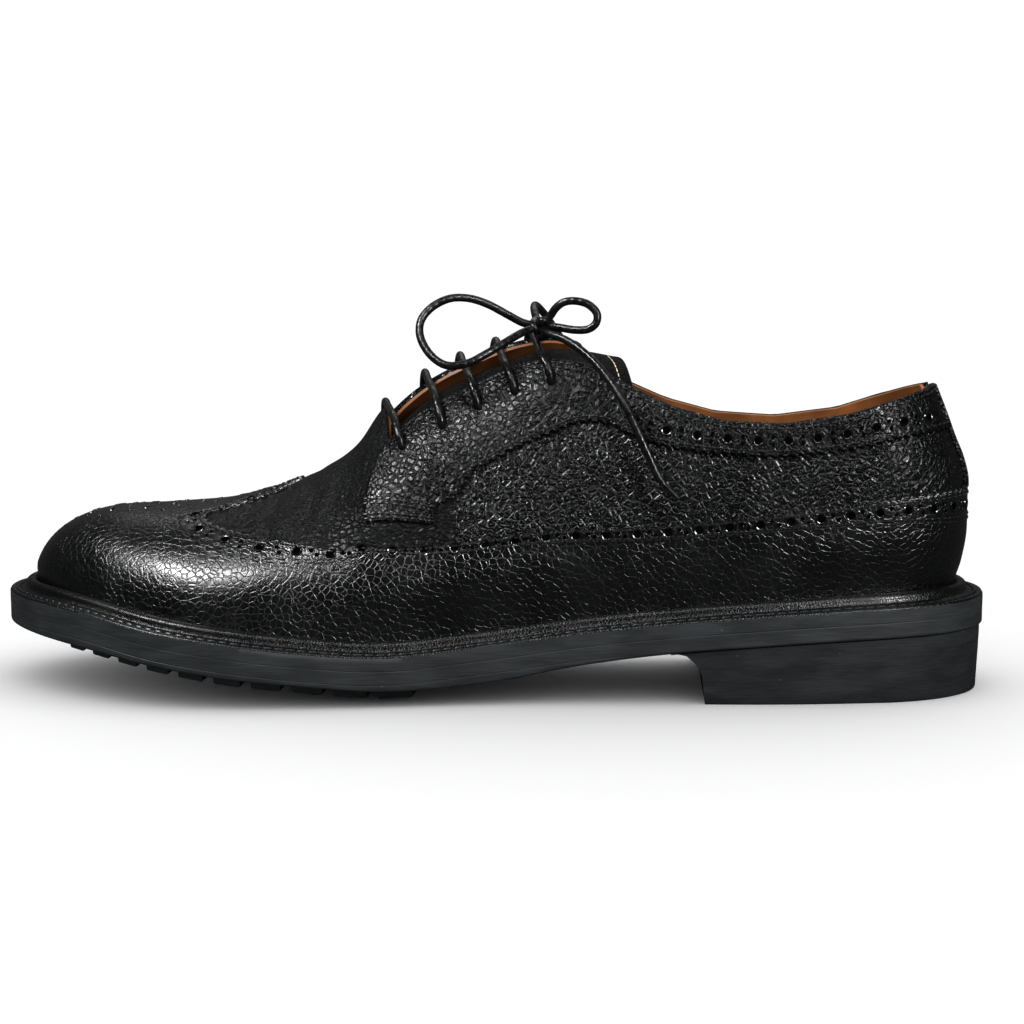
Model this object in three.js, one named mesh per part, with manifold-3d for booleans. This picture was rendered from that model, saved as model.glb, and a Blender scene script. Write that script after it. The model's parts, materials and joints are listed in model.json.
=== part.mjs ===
// Full brogue derby shoe, left foot, in millimetres.
// The toe points to -X, the lateral side faces -Y and the floor is Z = 0.
// The origin is the middle of the sole's box on the floor.
import * as THREE from "three";
import { mergeVertices } from "three/addons/utils/BufferGeometryUtils.js";
import Module from "manifold-3d";

const wasm = await Module();
wasm.setup();

// Driving sizes
const SOLE_LENGTH = 312;
const SOLE_WIDTH = 108;
const HEEL_EDGE_HEIGHT = 30;
const SOLE_SIDE = 12.5;
const CROSS_CURVE = 2;
const UPPER_SWELL = 5;
const RIDGE_SHIFT = 7;
const THROAT_HEIGHT = 113.5;
const BACK_RISE = 74;
const BACK_LEAN = 9;
const SWELL_RISE = { from: 6, to: 26 };
const TOE_LEAN = { shift: 2, from: 5, to: 12, length: 0.12 };
const HEEL_LEAN_LENGTH = 0.3;
const RIDGE_FADE_HEIGHT = 40;
const HEEL_ROUND = { radius: 38, power: 2.25 };
const TOE_ROUND = { radius: 80, power: 2.2 };
const TOE_CAP_ROUND = { radius: 34, power: 2.5 };
const UPPER_INSET = 10;
const WALL = 2.2;
const MEETING_GAP = 0.35;
const OVERLAY_THICKNESS = 1.0;
const CUT_ABOVE = 5;
const CUT_BELOW = 4;
const WELT_INNER_INSET = 8.7;
const BEAD_HEIGHT = 3.3;
const TOP_LAYER = 4.0;
const OUTSOLE_TOP_DROP = 4.3;
const FEATHER_DROP = 4.0;
const TREAD_INSET = 6.5;
const TREAD_DEPTH = 2.8;
const LUGS = { count: 10, start: -21.4, pitch: 13.9, shorter: 0.6, gap: 3.4, root: 1.5 };
const HEEL_SEAT_GAP = 0.3;
const HEEL_BREAST = 67.5;
const BREAST_SLANT = 1.0;
const BREAST_FILLET = 10.5;
const FILLET_START = 9.0;
const FILLET_MIDDLE = 13.0;
const HEEL_INSET = 0.8;
const HEEL_TAPER = 0.8;
const THROAT_CUT = { bottom: 70, top: 140 };
const COLLAR_CUT_TOP = 180;
const LACE_RADIUS = 1.25;
const LACE_SIDES = 8;
const EYELET_RADIUS = 2.3;
const KNOT = { x: 16, y: -4.6, z: 112.9, length: 7, width: 8, height: 8.8 };
const TOUCHING_GAP = 0.3;
const MIDDLE_SHIFT = 0.9;
const STATIONS = 32;
const ROUND_STEPS = 18;

// Sole by share of length from the heel: half widths over SOLE_WIDTH, edge height over
// HEEL_EDGE_HEIGHT, side height over SOLE_SIDE and curve across over CROSS_CURVE
const SOLE_ROWS = [
  { share: 0, lateral: 0.292, medial: 0.306, top: 1.02, side: 0.776, crossCurve: 0 },
  { share: 0.1, lateral: 0.333, medial: 0.333, top: 0.993, side: 0.776, crossCurve: 0 },
  { share: 0.2, lateral: 0.37, medial: 0.347, top: 0.94, side: 0.776, crossCurve: 0 },
  { share: 0.3, lateral: 0.381, medial: 0.338, top: 0.863, side: 0.776, crossCurve: 0 },
  { share: 0.4, lateral: 0.383, medial: 0.324, top: 0.753, side: 0.832, crossCurve: 0.15 },
  { share: 0.5, lateral: 0.413, medial: 0.343, top: 0.62, side: 0.944, crossCurve: 0.6 },
  { share: 0.6, lateral: 0.461, medial: 0.403, top: 0.53, side: 0.88, crossCurve: 1 },
  { share: 0.68, lateral: 0.494, medial: 0.454, top: 0.59, side: 0.85, crossCurve: 1 },
  { share: 0.75, lateral: 0.513, medial: 0.481, top: 0.677, side: 0.87, crossCurve: 1 },
  { share: 0.82, lateral: 0.511, medial: 0.491, top: 0.78, side: 0.85, crossCurve: 0.9 },
  { share: 0.9, lateral: 0.478, medial: 0.481, top: 0.92, side: 0.88, crossCurve: 0.6 },
  { share: 1, lateral: 0.417, medial: 0.435, top: 0.973, side: 0.8, crossCurve: 0 },
];

// Upper sections: bulge over UPPER_SWELL, the section's crown power and the ridge's
// sideways shift over RIDGE_SHIFT
const UPPER_ROWS = [
  { share: 0, bulgeLateral: 0.4, bulgeMedial: 0.4, crown: 0.52, ridge: 0 },
  { share: 0.1, bulgeLateral: 0.4, bulgeMedial: 0.5, crown: 0.5, ridge: 0 },
  { share: 0.2, bulgeLateral: 0.2, bulgeMedial: 0.5, crown: 0.52, ridge: 0 },
  { share: 0.3, bulgeLateral: 0.2, bulgeMedial: 0.6, crown: 0.62, ridge: 0.143 },
  { share: 0.4, bulgeLateral: 0.4, bulgeMedial: 0.8, crown: 0.88, ridge: 0.429 },
  { share: 0.5, bulgeLateral: 0.6, bulgeMedial: 0.9, crown: 1.15, ridge: 0.857 },
  { share: 0.6, bulgeLateral: 0.56, bulgeMedial: 0.7, crown: 1.2, ridge: 1 },
  { share: 0.68, bulgeLateral: 0.56, bulgeMedial: 0.56, crown: 1.05, ridge: 0.857 },
  { share: 0.75, bulgeLateral: 0.56, bulgeMedial: 0.5, crown: 0.95, ridge: 0.714 },
  { share: 0.82, bulgeLateral: 0.5, bulgeMedial: 0.4, crown: 0.88, ridge: 0.714 },
  { share: 0.9, bulgeLateral: 0.4, bulgeMedial: 0.3, crown: 0.82, ridge: 0.714 },
  { share: 1, bulgeLateral: 0.3, bulgeMedial: 0.2, crown: 0.8, ridge: 0.714 },
];

// Height of the ridge line above the floor over THROAT_HEIGHT, along the shoe
const RIDGE_ROWS = [
  { share: 0.026, height: 0.952 },
  { share: 0.308, height: 0.959 },
  { share: 0.365, height: 0.974 },
  { share: 0.404, height: 0.992 },
  { share: 0.436, height: 0.998 },
  { share: 0.462, height: 0.985 },
  { share: 0.494, height: 0.955 },
  { share: 0.532, height: 0.91 },
  { share: 0.564, height: 0.865 },
  { share: 0.59, height: 0.815 },
  { share: 0.615, height: 0.749 },
  { share: 0.635, height: 0.668 },
  { share: 0.651, height: 0.627 },
  { share: 0.675, height: 0.589 },
  { share: 0.712, height: 0.539 },
  { share: 0.74, height: 0.515 },
  { share: 0.772, height: 0.495 },
  { share: 0.808, height: 0.485 },
  { share: 0.856, height: 0.476 },
  { share: 0.907, height: 0.474 },
  { share: 1.013, height: 0.474 },
];

// Heel back: shift along X over BACK_LEAN, by height above the feather line over BACK_RISE
const BACK_ROWS = [
  { rise: 0, shift: 0 },
  { rise: 0.095, shift: 0.022 },
  { rise: 0.189, shift: 0.244 },
  { rise: 0.338, shift: 0.411 },
  { rise: 0.514, shift: 0.411 },
  { rise: 0.622, shift: 0.222 },
  { rise: 0.703, shift: -0.056 },
  { rise: 0.811, shift: -0.389 },
  { rise: 0.905, shift: -0.7 },
  { rise: 1, shift: -1.011 },
  { rise: 1.284, shift: -2 },
];

// Wing edge of one side, from the back of the heel to the peak on the vamp
const WING_EDGE = [
  { share: 0.0, angle: 27.5 },
  { share: 0.078, angle: 26.2 },
  { share: 0.19, angle: 23.6 },
  { share: 0.31, angle: 21.8 },
  { share: 0.43, angle: 21.2 },
  { share: 0.551, angle: 23.0 },
  { share: 0.6, angle: 25.6 },
  { share: 0.645, angle: 31.5 },
  { share: 0.683, angle: 38.0 },
  { share: 0.72, angle: 45.5 },
  { share: 0.755, angle: 52.0 },
  { share: 0.786, angle: 59.5 },
  { share: 0.803, angle: 68.0 },
  { share: 0.79, angle: 73.5 },
  { share: 0.76, angle: 77.0 },
  { share: 0.73, angle: 81.5 },
  { share: 0.706, angle: 90.0 },
];

// Facing and collar band: opening edge and inner edge of each side, front to back
const FACING_LATERAL = [
  { edgeShare: 0.625, edgeAngle: 35.6, innerShare: 0.553, innerAngle: 28.0 },
  { edgeShare: 0.627, edgeAngle: 42.7, innerShare: 0.552, innerAngle: 31.5 },
  { edgeShare: 0.622, edgeAngle: 50.5, innerShare: 0.528, innerAngle: 32.5 },
  { edgeShare: 0.607, edgeAngle: 57.5, innerShare: 0.516, innerAngle: 35.9 },
  { edgeShare: 0.572, edgeAngle: 60.5, innerShare: 0.5, innerAngle: 37.4 },
  { edgeShare: 0.519, edgeAngle: 62.0, innerShare: 0.475, innerAngle: 39.0 },
  { edgeShare: 0.455, edgeAngle: 63.8, innerShare: 0.43, innerAngle: 41.5 },
  { edgeShare: 0.394, edgeAngle: 62.5, innerShare: 0.402, innerAngle: 44.0 },
  { edgeShare: 0.381, edgeAngle: 61.0, innerShare: 0.385, innerAngle: 44.6 },
  { edgeShare: 0.367, edgeAngle: 59.5, innerShare: 0.37, innerAngle: 44.4 },
  { edgeShare: 0.341, edgeAngle: 55.8, innerShare: 0.352, innerAngle: 42.4 },
  { edgeShare: 0.301, edgeAngle: 51.0, innerShare: 0.315, innerAngle: 39.6 },
  { edgeShare: 0.249, edgeAngle: 47.2, innerShare: 0.257, innerAngle: 37.6 },
  { edgeShare: 0.182, edgeAngle: 46.3, innerShare: 0.187, innerAngle: 36.6 },
  { edgeShare: 0.112, edgeAngle: 48.8, innerShare: 0.113, innerAngle: 38.2 },
  { edgeShare: 0.055, edgeAngle: 53.1, innerShare: 0.055, innerAngle: 40.9 },
  { edgeShare: 0.0045, edgeAngle: 57.4, innerShare: 0.0045, innerAngle: 42.5 },
];
const FACING_MEDIAL = [
  { edgeShare: 0.652, edgeAngle: 36.0, innerShare: 0.58, innerAngle: 30.0 },
  { edgeShare: 0.655, edgeAngle: 46.0, innerShare: 0.58, innerAngle: 34.0 },
  { edgeShare: 0.65, edgeAngle: 57.0, innerShare: 0.556, innerAngle: 36.0 },
  { edgeShare: 0.636, edgeAngle: 67.0, innerShare: 0.545, innerAngle: 41.0 },
  { edgeShare: 0.603, edgeAngle: 72.0, innerShare: 0.53, innerAngle: 44.5 },
  { edgeShare: 0.549, edgeAngle: 74.5, innerShare: 0.51, innerAngle: 46.5 },
  { edgeShare: 0.485, edgeAngle: 75.0, innerShare: 0.455, innerAngle: 48.5 },
  { edgeShare: 0.412, edgeAngle: 71.0, innerShare: 0.42, innerAngle: 48.5 },
  { edgeShare: 0.398, edgeAngle: 66.0, innerShare: 0.402, innerAngle: 47.5 },
  { edgeShare: 0.382, edgeAngle: 61.5, innerShare: 0.385, innerAngle: 46.2 },
  { edgeShare: 0.353, edgeAngle: 56.0, innerShare: 0.362, innerAngle: 43.3 },
  { edgeShare: 0.308, edgeAngle: 50.5, innerShare: 0.32, innerAngle: 39.2 },
  { edgeShare: 0.252, edgeAngle: 46.3, innerShare: 0.26, innerAngle: 37.0 },
  { edgeShare: 0.184, edgeAngle: 44.9, innerShare: 0.189, innerAngle: 36.0 },
  { edgeShare: 0.112, edgeAngle: 47.3, innerShare: 0.113, innerAngle: 37.8 },
  { edgeShare: 0.055, edgeAngle: 52.3, innerShare: 0.055, innerAngle: 40.7 },
  { edgeShare: 0.0045, edgeAngle: 57.4, innerShare: 0.0045, innerAngle: 42.5 },
];
const BACK_STRIP = { from: 30.5, to: 55.6, steps: 6, halfStation: 0.032 };
const FACING_CORNER = 7;
const THROAT_START = 3;

// Five eyelet rows, front to back
const EYELETS = [
  { lateralShare: 0.589, lateralAngle: 51.0, medialShare: 0.62, medialAngle: 59.0 },
  { lateralShare: 0.547, lateralAngle: 51.5, medialShare: 0.578, medialAngle: 62.5 },
  { lateralShare: 0.509, lateralAngle: 53.0, medialShare: 0.54, medialAngle: 64.5 },
  { lateralShare: 0.47, lateralAngle: 54.2, medialShare: 0.501, medialAngle: 65.5 },
  { lateralShare: 0.432, lateralAngle: 55.2, medialShare: 0.463, medialAngle: 65.5 },
];

// A smooth function through the rows of a table
function smoothTable(rows, key, value, size = 1, keySize = 1) {
  const xs = rows.map((row) => row[key] * keySize);
  const ys = rows.map((row) => row[value] * size);
  const slopes = xs.slice(1).map((x, i) => (ys[i + 1] - ys[i]) / (x - xs[i]));
  const tangents = xs.map((_, i) => {
    if (i === 0) return slopes[0];
    if (i === xs.length - 1) return slopes[i - 1];
    return slopes[i - 1] * slopes[i] <= 0 ? 0 : (slopes[i - 1] + slopes[i]) / 2;
  });
  return (at) => {
    const x = Math.min(Math.max(at, xs[0]), xs[xs.length - 1]);
    let i = 0;
    while (i < xs.length - 2 && x >= xs[i + 1]) i += 1;
    const step = xs[i + 1] - xs[i];
    const u = (x - xs[i]) / step;
    const v = 1 - u;
    return (
      (1 + 2 * u) * v * v * ys[i] +
      u * v * v * step * tangents[i] +
      u * u * (3 - 2 * u) * ys[i + 1] -
      u * u * v * step * tangents[i + 1]
    );
  };
}

const soleLateral = smoothTable(SOLE_ROWS, "share", "lateral", SOLE_WIDTH);
const soleMedial = smoothTable(SOLE_ROWS, "share", "medial", SOLE_WIDTH);
const soleTop = smoothTable(SOLE_ROWS, "share", "top", HEEL_EDGE_HEIGHT);
const soleSide = smoothTable(SOLE_ROWS, "share", "side", SOLE_SIDE);
const soleCross = smoothTable(SOLE_ROWS, "share", "crossCurve", CROSS_CURVE);
const bulgeLateral = smoothTable(UPPER_ROWS, "share", "bulgeLateral", UPPER_SWELL);
const bulgeMedial = smoothTable(UPPER_ROWS, "share", "bulgeMedial", UPPER_SWELL);
const crownAt = smoothTable(UPPER_ROWS, "share", "crown");
const ridgeShift = smoothTable(UPPER_ROWS, "share", "ridge", RIDGE_SHIFT);
const ridgeHeight = smoothTable(RIDGE_ROWS, "share", "height", THROAT_HEIGHT);
const backShift = smoothTable(BACK_ROWS, "rise", "shift", BACK_LEAN, BACK_RISE);
const centreLine = smoothTable(
  [
    { share: 0, y: 0 },
    { share: 0.6, y: 0 },
    { share: 0.8, y: 1 },
    { share: 1, y: 5 },
  ],
  "share",
  "y",
);

const radians = (degrees) => (degrees * Math.PI) / 180;
const clamp = (value, low, high) => Math.min(Math.max(value, low), high);
const shareAtX = (x) => clamp(0.5 - x / SOLE_LENGTH, 0, 1);
const edgeHeight = (x) => soleTop(shareAtX(x));
const stationOfShare = (share) => Math.acos(1 - 2 * share) / Math.PI;

// Rounded closing of a width or height toward an end
function closing(distance, radius, power) {
  const q = clamp(1 - distance / radius, 0, 1);
  return Math.pow(1 - Math.pow(q, power), 1 / power);
}

// A point of the sole's outline moved inward, at station 0 (heel) to 1 (toe)
function outlinePoint(station, side, inset) {
  const share = (1 - Math.cos(Math.PI * station)) / 2;
  const length = SOLE_LENGTH - 2 * inset;
  const x = length / 2 - share * length;
  const ends =
    closing(share * length, HEEL_ROUND.radius - inset, HEEL_ROUND.power) *
    closing((1 - share) * length, TOE_ROUND.radius - inset, TOE_ROUND.power);
  const half = (side < 0 ? soleLateral(share) : soleMedial(share)) - inset;
  return { x, y: centreLine(share) + side * half * ends, share, ends, half };
}

// A point of the upper's form: station along the shoe and angle round the section
function formPoint(station, angle) {
  const side = Math.cos(angle) > 0 ? -1 : 1;
  const line = outlinePoint(station, side, UPPER_INSET);
  const length = SOLE_LENGTH - 2 * UPPER_INSET;
  const fromToe = (1 - line.share) * length;
  const foot = edgeHeight(line.x) - FEATHER_DROP;
  const tall =
    (ridgeHeight(shareAtX(line.x)) - foot) * closing(fromToe, TOE_CAP_ROUND.radius, TOE_CAP_ROUND.power);
  const rise = tall * clamp(Math.sin(angle), 0, 1);
  const swell = THREE.MathUtils.smoothstep(rise, SWELL_RISE.from, SWELL_RISE.to);
  const bulge = (side < 0 ? bulgeLateral(line.share) : bulgeMedial(line.share)) * swell;
  const width = (line.half + bulge) * line.ends;
  const lift = tall > 0 ? rise / tall : 0;
  const y =
    centreLine(line.share) +
    side * width * Math.pow(Math.abs(Math.cos(angle)), crownAt(line.share)) +
    ridgeShift(line.share) * line.ends * lift * lift * clamp(tall / RIDGE_FADE_HEIGHT, 0, 1);
  const heelFade = Math.pow(clamp(1 - line.share / HEEL_LEAN_LENGTH, 0, 1), 1.5);
  const toeFade = Math.pow(clamp(1 - (1 - line.share) / TOE_LEAN.length, 0, 1), 1.5);
  const toeLift = THREE.MathUtils.smoothstep(rise, TOE_LEAN.from, TOE_LEAN.to);
  const shift = backShift(rise) * heelFade - TOE_LEAN.shift * toeFade * toeLift;
  return new THREE.Vector3(line.x + shift, y, foot + rise);
}

// The outward normal of the form
function formNormal(station, angle) {
  if (station > 0.9999) return new THREE.Vector3(-1, 0, 0);
  if (station < 0.0001) {
    const folded = formNormal(0.006, Math.min(angle, Math.PI - angle));
    return folded.setY(0).normalize();
  }
  const s = clamp(station, 0.006, 0.994);
  const a = clamp(angle, 0.012, Math.PI - 0.012);
  const along = formPoint(s + 0.004, a).sub(formPoint(s - 0.004, a));
  const round = formPoint(s, a + 0.01).sub(formPoint(s, a - 0.01));
  return round.cross(along).normalize();
}

const offsetPoint = (station, angle, offset) =>
  formPoint(station, angle).addScaledVector(formNormal(station, angle), offset);

// Builds a closed mesh from points and faces given as lists of corners
class Body {
  constructor() {
    this.positions = [];
    this.faces = [];
  }

  point(v) {
    this.positions.push(v.x, v.y, v.z);
    return this.positions.length / 3 - 1;
  }

  quad(a, b, c, d) {
    this.faces.push(a, b, c, a, c, d);
  }

  geometry() {
    const raw = new THREE.BufferGeometry();
    raw.setAttribute("position", new THREE.Float32BufferAttribute(this.positions, 3));
    raw.setIndex(this.faces);
    return cleaned(raw);
  }
}

// Merges the shared corners and drops faces that have no area
function cleaned(geometry) {
  const source = geometry.index ? geometry.toNonIndexed() : geometry.clone();
  for (const name of Object.keys(source.attributes)) {
    if (name !== "position") source.deleteAttribute(name);
  }
  const merged = mergeVertices(source, 1e-3);
  const kept = [];
  const index = merged.index.array;
  for (let i = 0; i < index.length; i += 3) {
    const [a, b, c] = [index[i], index[i + 1], index[i + 2]];
    if (a !== b && b !== c && a !== c) kept.push(a, b, c);
  }
  merged.setIndex(kept);
  return merged;
}

function toSolid(geometry) {
  const merged = cleaned(geometry);
  return new wasm.Manifold(
    new wasm.Mesh({
      numProp: 3,
      vertProperties: merged.attributes.position.array,
      triVerts: new Uint32Array(merged.index.array),
    }),
  );
}

function toGeometry(solid) {
  const mesh = solid.getMesh();
  const geometry = new THREE.BufferGeometry();
  geometry.setAttribute("position", new THREE.BufferAttribute(mesh.vertProperties, mesh.numProp));
  geometry.setIndex(new THREE.BufferAttribute(mesh.triVerts, 1));
  return geometry;
}

// Closes a grid of rows of points into a solid: each row is a closed ring, the ends are capped
function ringSolid(rings, closedAlong = false) {
  const body = new Body();
  const ids = rings.map((ring) => ring.map((p) => body.point(p)));
  const count = rings[0].length;
  const last = closedAlong ? rings.length : rings.length - 1;
  for (let i = 0; i < last; i += 1) {
    const here = ids[i];
    const next = ids[(i + 1) % rings.length];
    for (let j = 0; j < count; j += 1) {
      const k = (j + 1) % count;
      body.quad(here[j], next[j], next[k], here[k]);
    }
  }
  if (!closedAlong) {
    for (let j = 1; j < count - 1; j += 1) {
      body.faces.push(ids[0][0], ids[0][j], ids[0][j + 1]);
      body.faces.push(ids[last][0], ids[last][j + 1], ids[last][j]);
    }
  }
  return body.geometry();
}

// Turns a closed geometry right side out
function facingOut(geometry) {
  const position = geometry.attributes.position;
  const index = geometry.index.array;
  let volume = 0;
  const [a, b, c] = [new THREE.Vector3(), new THREE.Vector3(), new THREE.Vector3()];
  for (let i = 0; i < index.length; i += 3) {
    a.fromBufferAttribute(position, index[i]);
    b.fromBufferAttribute(position, index[i + 1]);
    c.fromBufferAttribute(position, index[i + 2]);
    volume += a.dot(b.cross(c));
  }
  if (volume < 0) {
    for (let i = 0; i < index.length; i += 3) {
      [index[i + 1], index[i + 2]] = [index[i + 2], index[i + 1]];
    }
  }
  return geometry;
}

// The whole form at an offset from its surface, its underside carried down by a depth
function formSolid(offset, depth) {
  const body = new Body();
  const rows = [];
  for (let i = 0; i <= STATIONS; i += 1) {
    const row = [];
    for (let j = 0; j <= ROUND_STEPS; j += 1) {
      row.push(offsetPoint(i / STATIONS, (Math.PI * j) / ROUND_STEPS, offset));
    }
    if (depth > 0) {
      const low = row[0].clone();
      const high = row[ROUND_STEPS].clone();
      low.z -= depth;
      high.z -= depth;
      row.unshift(low);
      row.push(high);
    }
    rows.push(row.map((p) => body.point(p)));
  }
  const across = rows[0].length - 1;
  for (let i = 0; i < STATIONS; i += 1) {
    for (let j = 0; j < across; j += 1) {
      body.quad(rows[i][j], rows[i][j + 1], rows[i + 1][j + 1], rows[i + 1][j]);
    }
    body.quad(rows[i][across], rows[i][0], rows[i + 1][0], rows[i + 1][across]);
  }
  return facingOut(body.geometry());
}

// The layer over the upper that every overlay is cut from
const overlayShell = toSolid(formSolid(MEETING_GAP + OVERLAY_THICKNESS, 0)).subtract(
  toSolid(formSolid(MEETING_GAP, 6)),
);

// A prism over a polygon of the plane, between two levels along the third axis
function prism(points, low, high, place) {
  const shape = new THREE.Shape(points.map(([u, v]) => new THREE.Vector2(u, v)));
  const geometry = new THREE.ExtrudeGeometry(shape, { depth: high - low, bevelEnabled: false });
  geometry.translate(0, 0, low);
  if (place === "side") geometry.rotateX(Math.PI / 2);
  return facingOut(cleaned(geometry));
}

// A tube round a smooth path through points
function tube(points, radius, stepLength) {
  const path = new THREE.CatmullRomCurve3(points, false, "centripetal");
  const segments = Math.round(path.getLength() / stepLength);
  const shape = new THREE.Shape();
  for (let i = 0; i < LACE_SIDES; i += 1) {
    const turn = (2 * Math.PI * i) / LACE_SIDES;
    const [u, v] = [radius * Math.cos(turn), radius * Math.sin(turn)];
    if (i === 0) shape.moveTo(u, v);
    else shape.lineTo(u, v);
  }
  shape.closePath();
  const options = { steps: segments, extrudePath: path, bevelEnabled: false };
  return facingOut(cleaned(new THREE.ExtrudeGeometry(shape, options)));
}

// A thin patch over the form between an outer and an inner offset, from a grid of stations
function patchSolid(grid, low, high) {
  const rings = grid.map((row) => {
    const over = row.map((at) => offsetPoint(at.station, at.angle, high));
    const under = row.map((at) => offsetPoint(at.station, at.angle, low)).reverse();
    return over.concat(under);
  });
  return facingOut(ringSolid(rings));
}

// Pattern plane: the toe is the pole, the station runs outward and the angle runs round it
const toPattern = (station, angle) => ({
  u: (1 - station) * Math.cos(angle),
  v: (1 - station) * Math.sin(angle),
});
const fromPattern = (p) => ({
  station: 1 - Math.hypot(p.u, p.v),
  angle: Math.atan2(p.v, p.u),
});

// A smooth curve through pattern points
function patternCurve(rows) {
  const points = rows.map(({ station, angle }) => {
    const p = toPattern(station, angle);
    return new THREE.Vector3(p.u, p.v, 0);
  });
  const curve = new THREE.CatmullRomCurve3(points, false, "centripetal");
  return (amount) => {
    const p = curve.getPoint(clamp(amount, 0, 1));
    return { u: p.x, v: p.y };
  };
}

const mixed = (a, b, amount) => ({
  u: a.u + (b.u - a.u) * amount,
  v: a.v + (b.v - a.v) * amount,
});

// Wing: the whole lower band of the upper with the pointed cap over the toe
function wingGeometry() {
  const half = WING_EDGE.map((row) => ({
    station: stationOfShare(row.share),
    angle: radians(row.angle),
  }));
  const other = half.map((row) => ({ station: row.station, angle: Math.PI - row.angle }));
  const edge = patternCurve(half.concat(other.reverse().slice(1)));
  const steps = 52;
  const levels = [0, 0.34, 0.7, 1];
  const grid = [];
  for (let k = 0; k <= steps; k += 1) {
    const amount = k / steps;
    const top = edge(amount);
    const reach = Math.abs(1 - 2 * amount);
    const foot = { u: Math.sign(1 - 2 * amount) * Math.pow(reach, 1.25), v: 0 };
    const start = fromPattern(top);
    const end = { station: 1 - Math.abs(foot.u), angle: foot.u > 0 ? 0 : Math.PI };
    const round = THREE.MathUtils.smoothstep(reach, 0.3, 0.6);
    grid.push(
      levels.map((level) => {
        const flat = fromPattern(mixed(top, foot, level));
        const turned = {
          station: start.station + (end.station - start.station) * level,
          angle: start.angle + (end.angle - start.angle) * level,
        };
        return {
          station: flat.station + (turned.station - flat.station) * round,
          angle: flat.angle + (turned.angle - flat.angle) * round,
        };
      }),
    );
  }
  grid.pop();
  const rings = grid.map((row) => {
    const over = row.map((at) => offsetPoint(at.station, at.angle, CUT_ABOVE));
    const under = row.map((at) => offsetPoint(at.station, at.angle, -CUT_BELOW));
    over.push(over[over.length - 1].clone().setZ(0));
    under.push(under[under.length - 1].clone().setZ(0));
    return over.concat(under.reverse());
  });
  const underBead = slabGeometry(
    outlineStations(-6, 16),
    1,
    (x) => edgeHeight(x) + BEAD_HEIGHT + MEETING_GAP,
    () => -20,
  );
  return toGeometry(
    overlayShell
      .subtract(toSolid(underBead))
      .intersect(toSolid(facingOut(ringSolid(rings, true)))),
  );
}

// Facing and collar band of one side
function facingGrid(rows, medial) {
  const turned = (angle) => (medial ? Math.PI - radians(angle) : radians(angle));
  const outer = patternCurve(
    rows.map((row) => ({
      station: stationOfShare(row.edgeShare),
      angle: turned(row.edgeAngle),
    })),
  );
  const inner = patternCurve(
    rows.map((row) => ({
      station: stationOfShare(row.innerShare),
      angle: turned(row.innerAngle),
    })),
  );
  const steps = 22;
  const grid = [];
  for (let k = 0; k <= steps; k += 1) {
    const a = outer(k / steps);
    const b = inner(k / steps);
    grid.push([0, 0.5, 1].map((level) => fromPattern(mixed(a, b, level))));
  }
  return grid;
}

// The opening edge of one side as points on the form
function openingPoints(rows, medial, from, to) {
  return rows.slice(from, to + 1).map((row) => {
    const angle = medial ? Math.PI - radians(row.edgeAngle) : radians(row.edgeAngle);
    return formPoint(stationOfShare(row.edgeShare), angle);
  });
}

// The throat in plan and the collar from the side, as cutting prisms
function openingCutters() {
  const near = openingPoints(FACING_LATERAL, false, THROAT_START, FACING_CORNER);
  const far = openingPoints(FACING_MEDIAL, true, THROAT_START, FACING_CORNER);
  const plan = near.map((p) => [p.x, p.y]);
  plan.push([near[near.length - 1].x + 14, near[near.length - 1].y - 2]);
  plan.push([far[far.length - 1].x + 14, far[far.length - 1].y + 2]);
  plan.push(...far.reverse().map((p) => [p.x, p.y]));
  plan.push([-41.5, 6], [-39, -4], [-35.5, -10]);
  const throat = prism(plan, THROAT_CUT.bottom, THROAT_CUT.top, "plan");
  const last = FACING_LATERAL.length - 1;
  const cutters = [throat];
  for (const [rows, medial] of [
    [FACING_LATERAL, false],
    [FACING_MEDIAL, true],
  ]) {
    const edge = openingPoints(rows, medial, FACING_CORNER, last).map((p) => [p.x, p.z]);
    const end = edge[edge.length - 1];
    const shape = [...edge, [end[0] + 30, end[1]], [end[0] + 30, COLLAR_CUT_TOP], [edge[0][0], COLLAR_CUT_TOP]];
    const slice = prism(shape, medial ? -90 : -1.5, medial ? -1.5 : 90, "side");
    cutters.push(slice);
  }
  return cutters.map(toSolid);
}

// A short cylinder through the wall at an eyelet
function eyeletCutter(station, angle) {
  const centre = formPoint(station, angle);
  const normal = formNormal(station, angle);
  const geometry = new THREE.CylinderGeometry(EYELET_RADIUS, EYELET_RADIUS, 12, 7);
  geometry.applyQuaternion(
    new THREE.Quaternion().setFromUnitVectors(new THREE.Vector3(0, 1, 0), normal),
  );
  geometry.translate(centre.x, centre.y, centre.z);
  return toSolid(geometry);
}

const lateralEyelets = EYELETS.map((row) => ({
  station: stationOfShare(row.lateralShare),
  angle: radians(row.lateralAngle),
}));
const medialEyelets = EYELETS.map((row) => ({
  station: stationOfShare(row.medialShare),
  angle: Math.PI - radians(row.medialAngle),
}));
const lateralCuts = lateralEyelets.map((at) => eyeletCutter(at.station, at.angle));
const medialCuts = medialEyelets.map((at) => eyeletCutter(at.station, at.angle));

function upperGeometry() {
  const outer = toSolid(formSolid(0, 0));
  const inner = toSolid(formSolid(-WALL, 8));
  let shell = outer.subtract(inner);
  for (const cutter of [...openingCutters(), ...lateralCuts, ...medialCuts]) {
    shell = shell.subtract(cutter);
  }
  return toGeometry(shell);
}

function facingGeometry(rows, medial, cuts) {
  const patch = patchSolid(facingGrid(rows, medial), -CUT_BELOW, CUT_ABOVE);
  let solid = overlayShell.intersect(toSolid(patch));
  for (const cutter of cuts) solid = solid.subtract(cutter);
  return toGeometry(solid);
}

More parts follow.
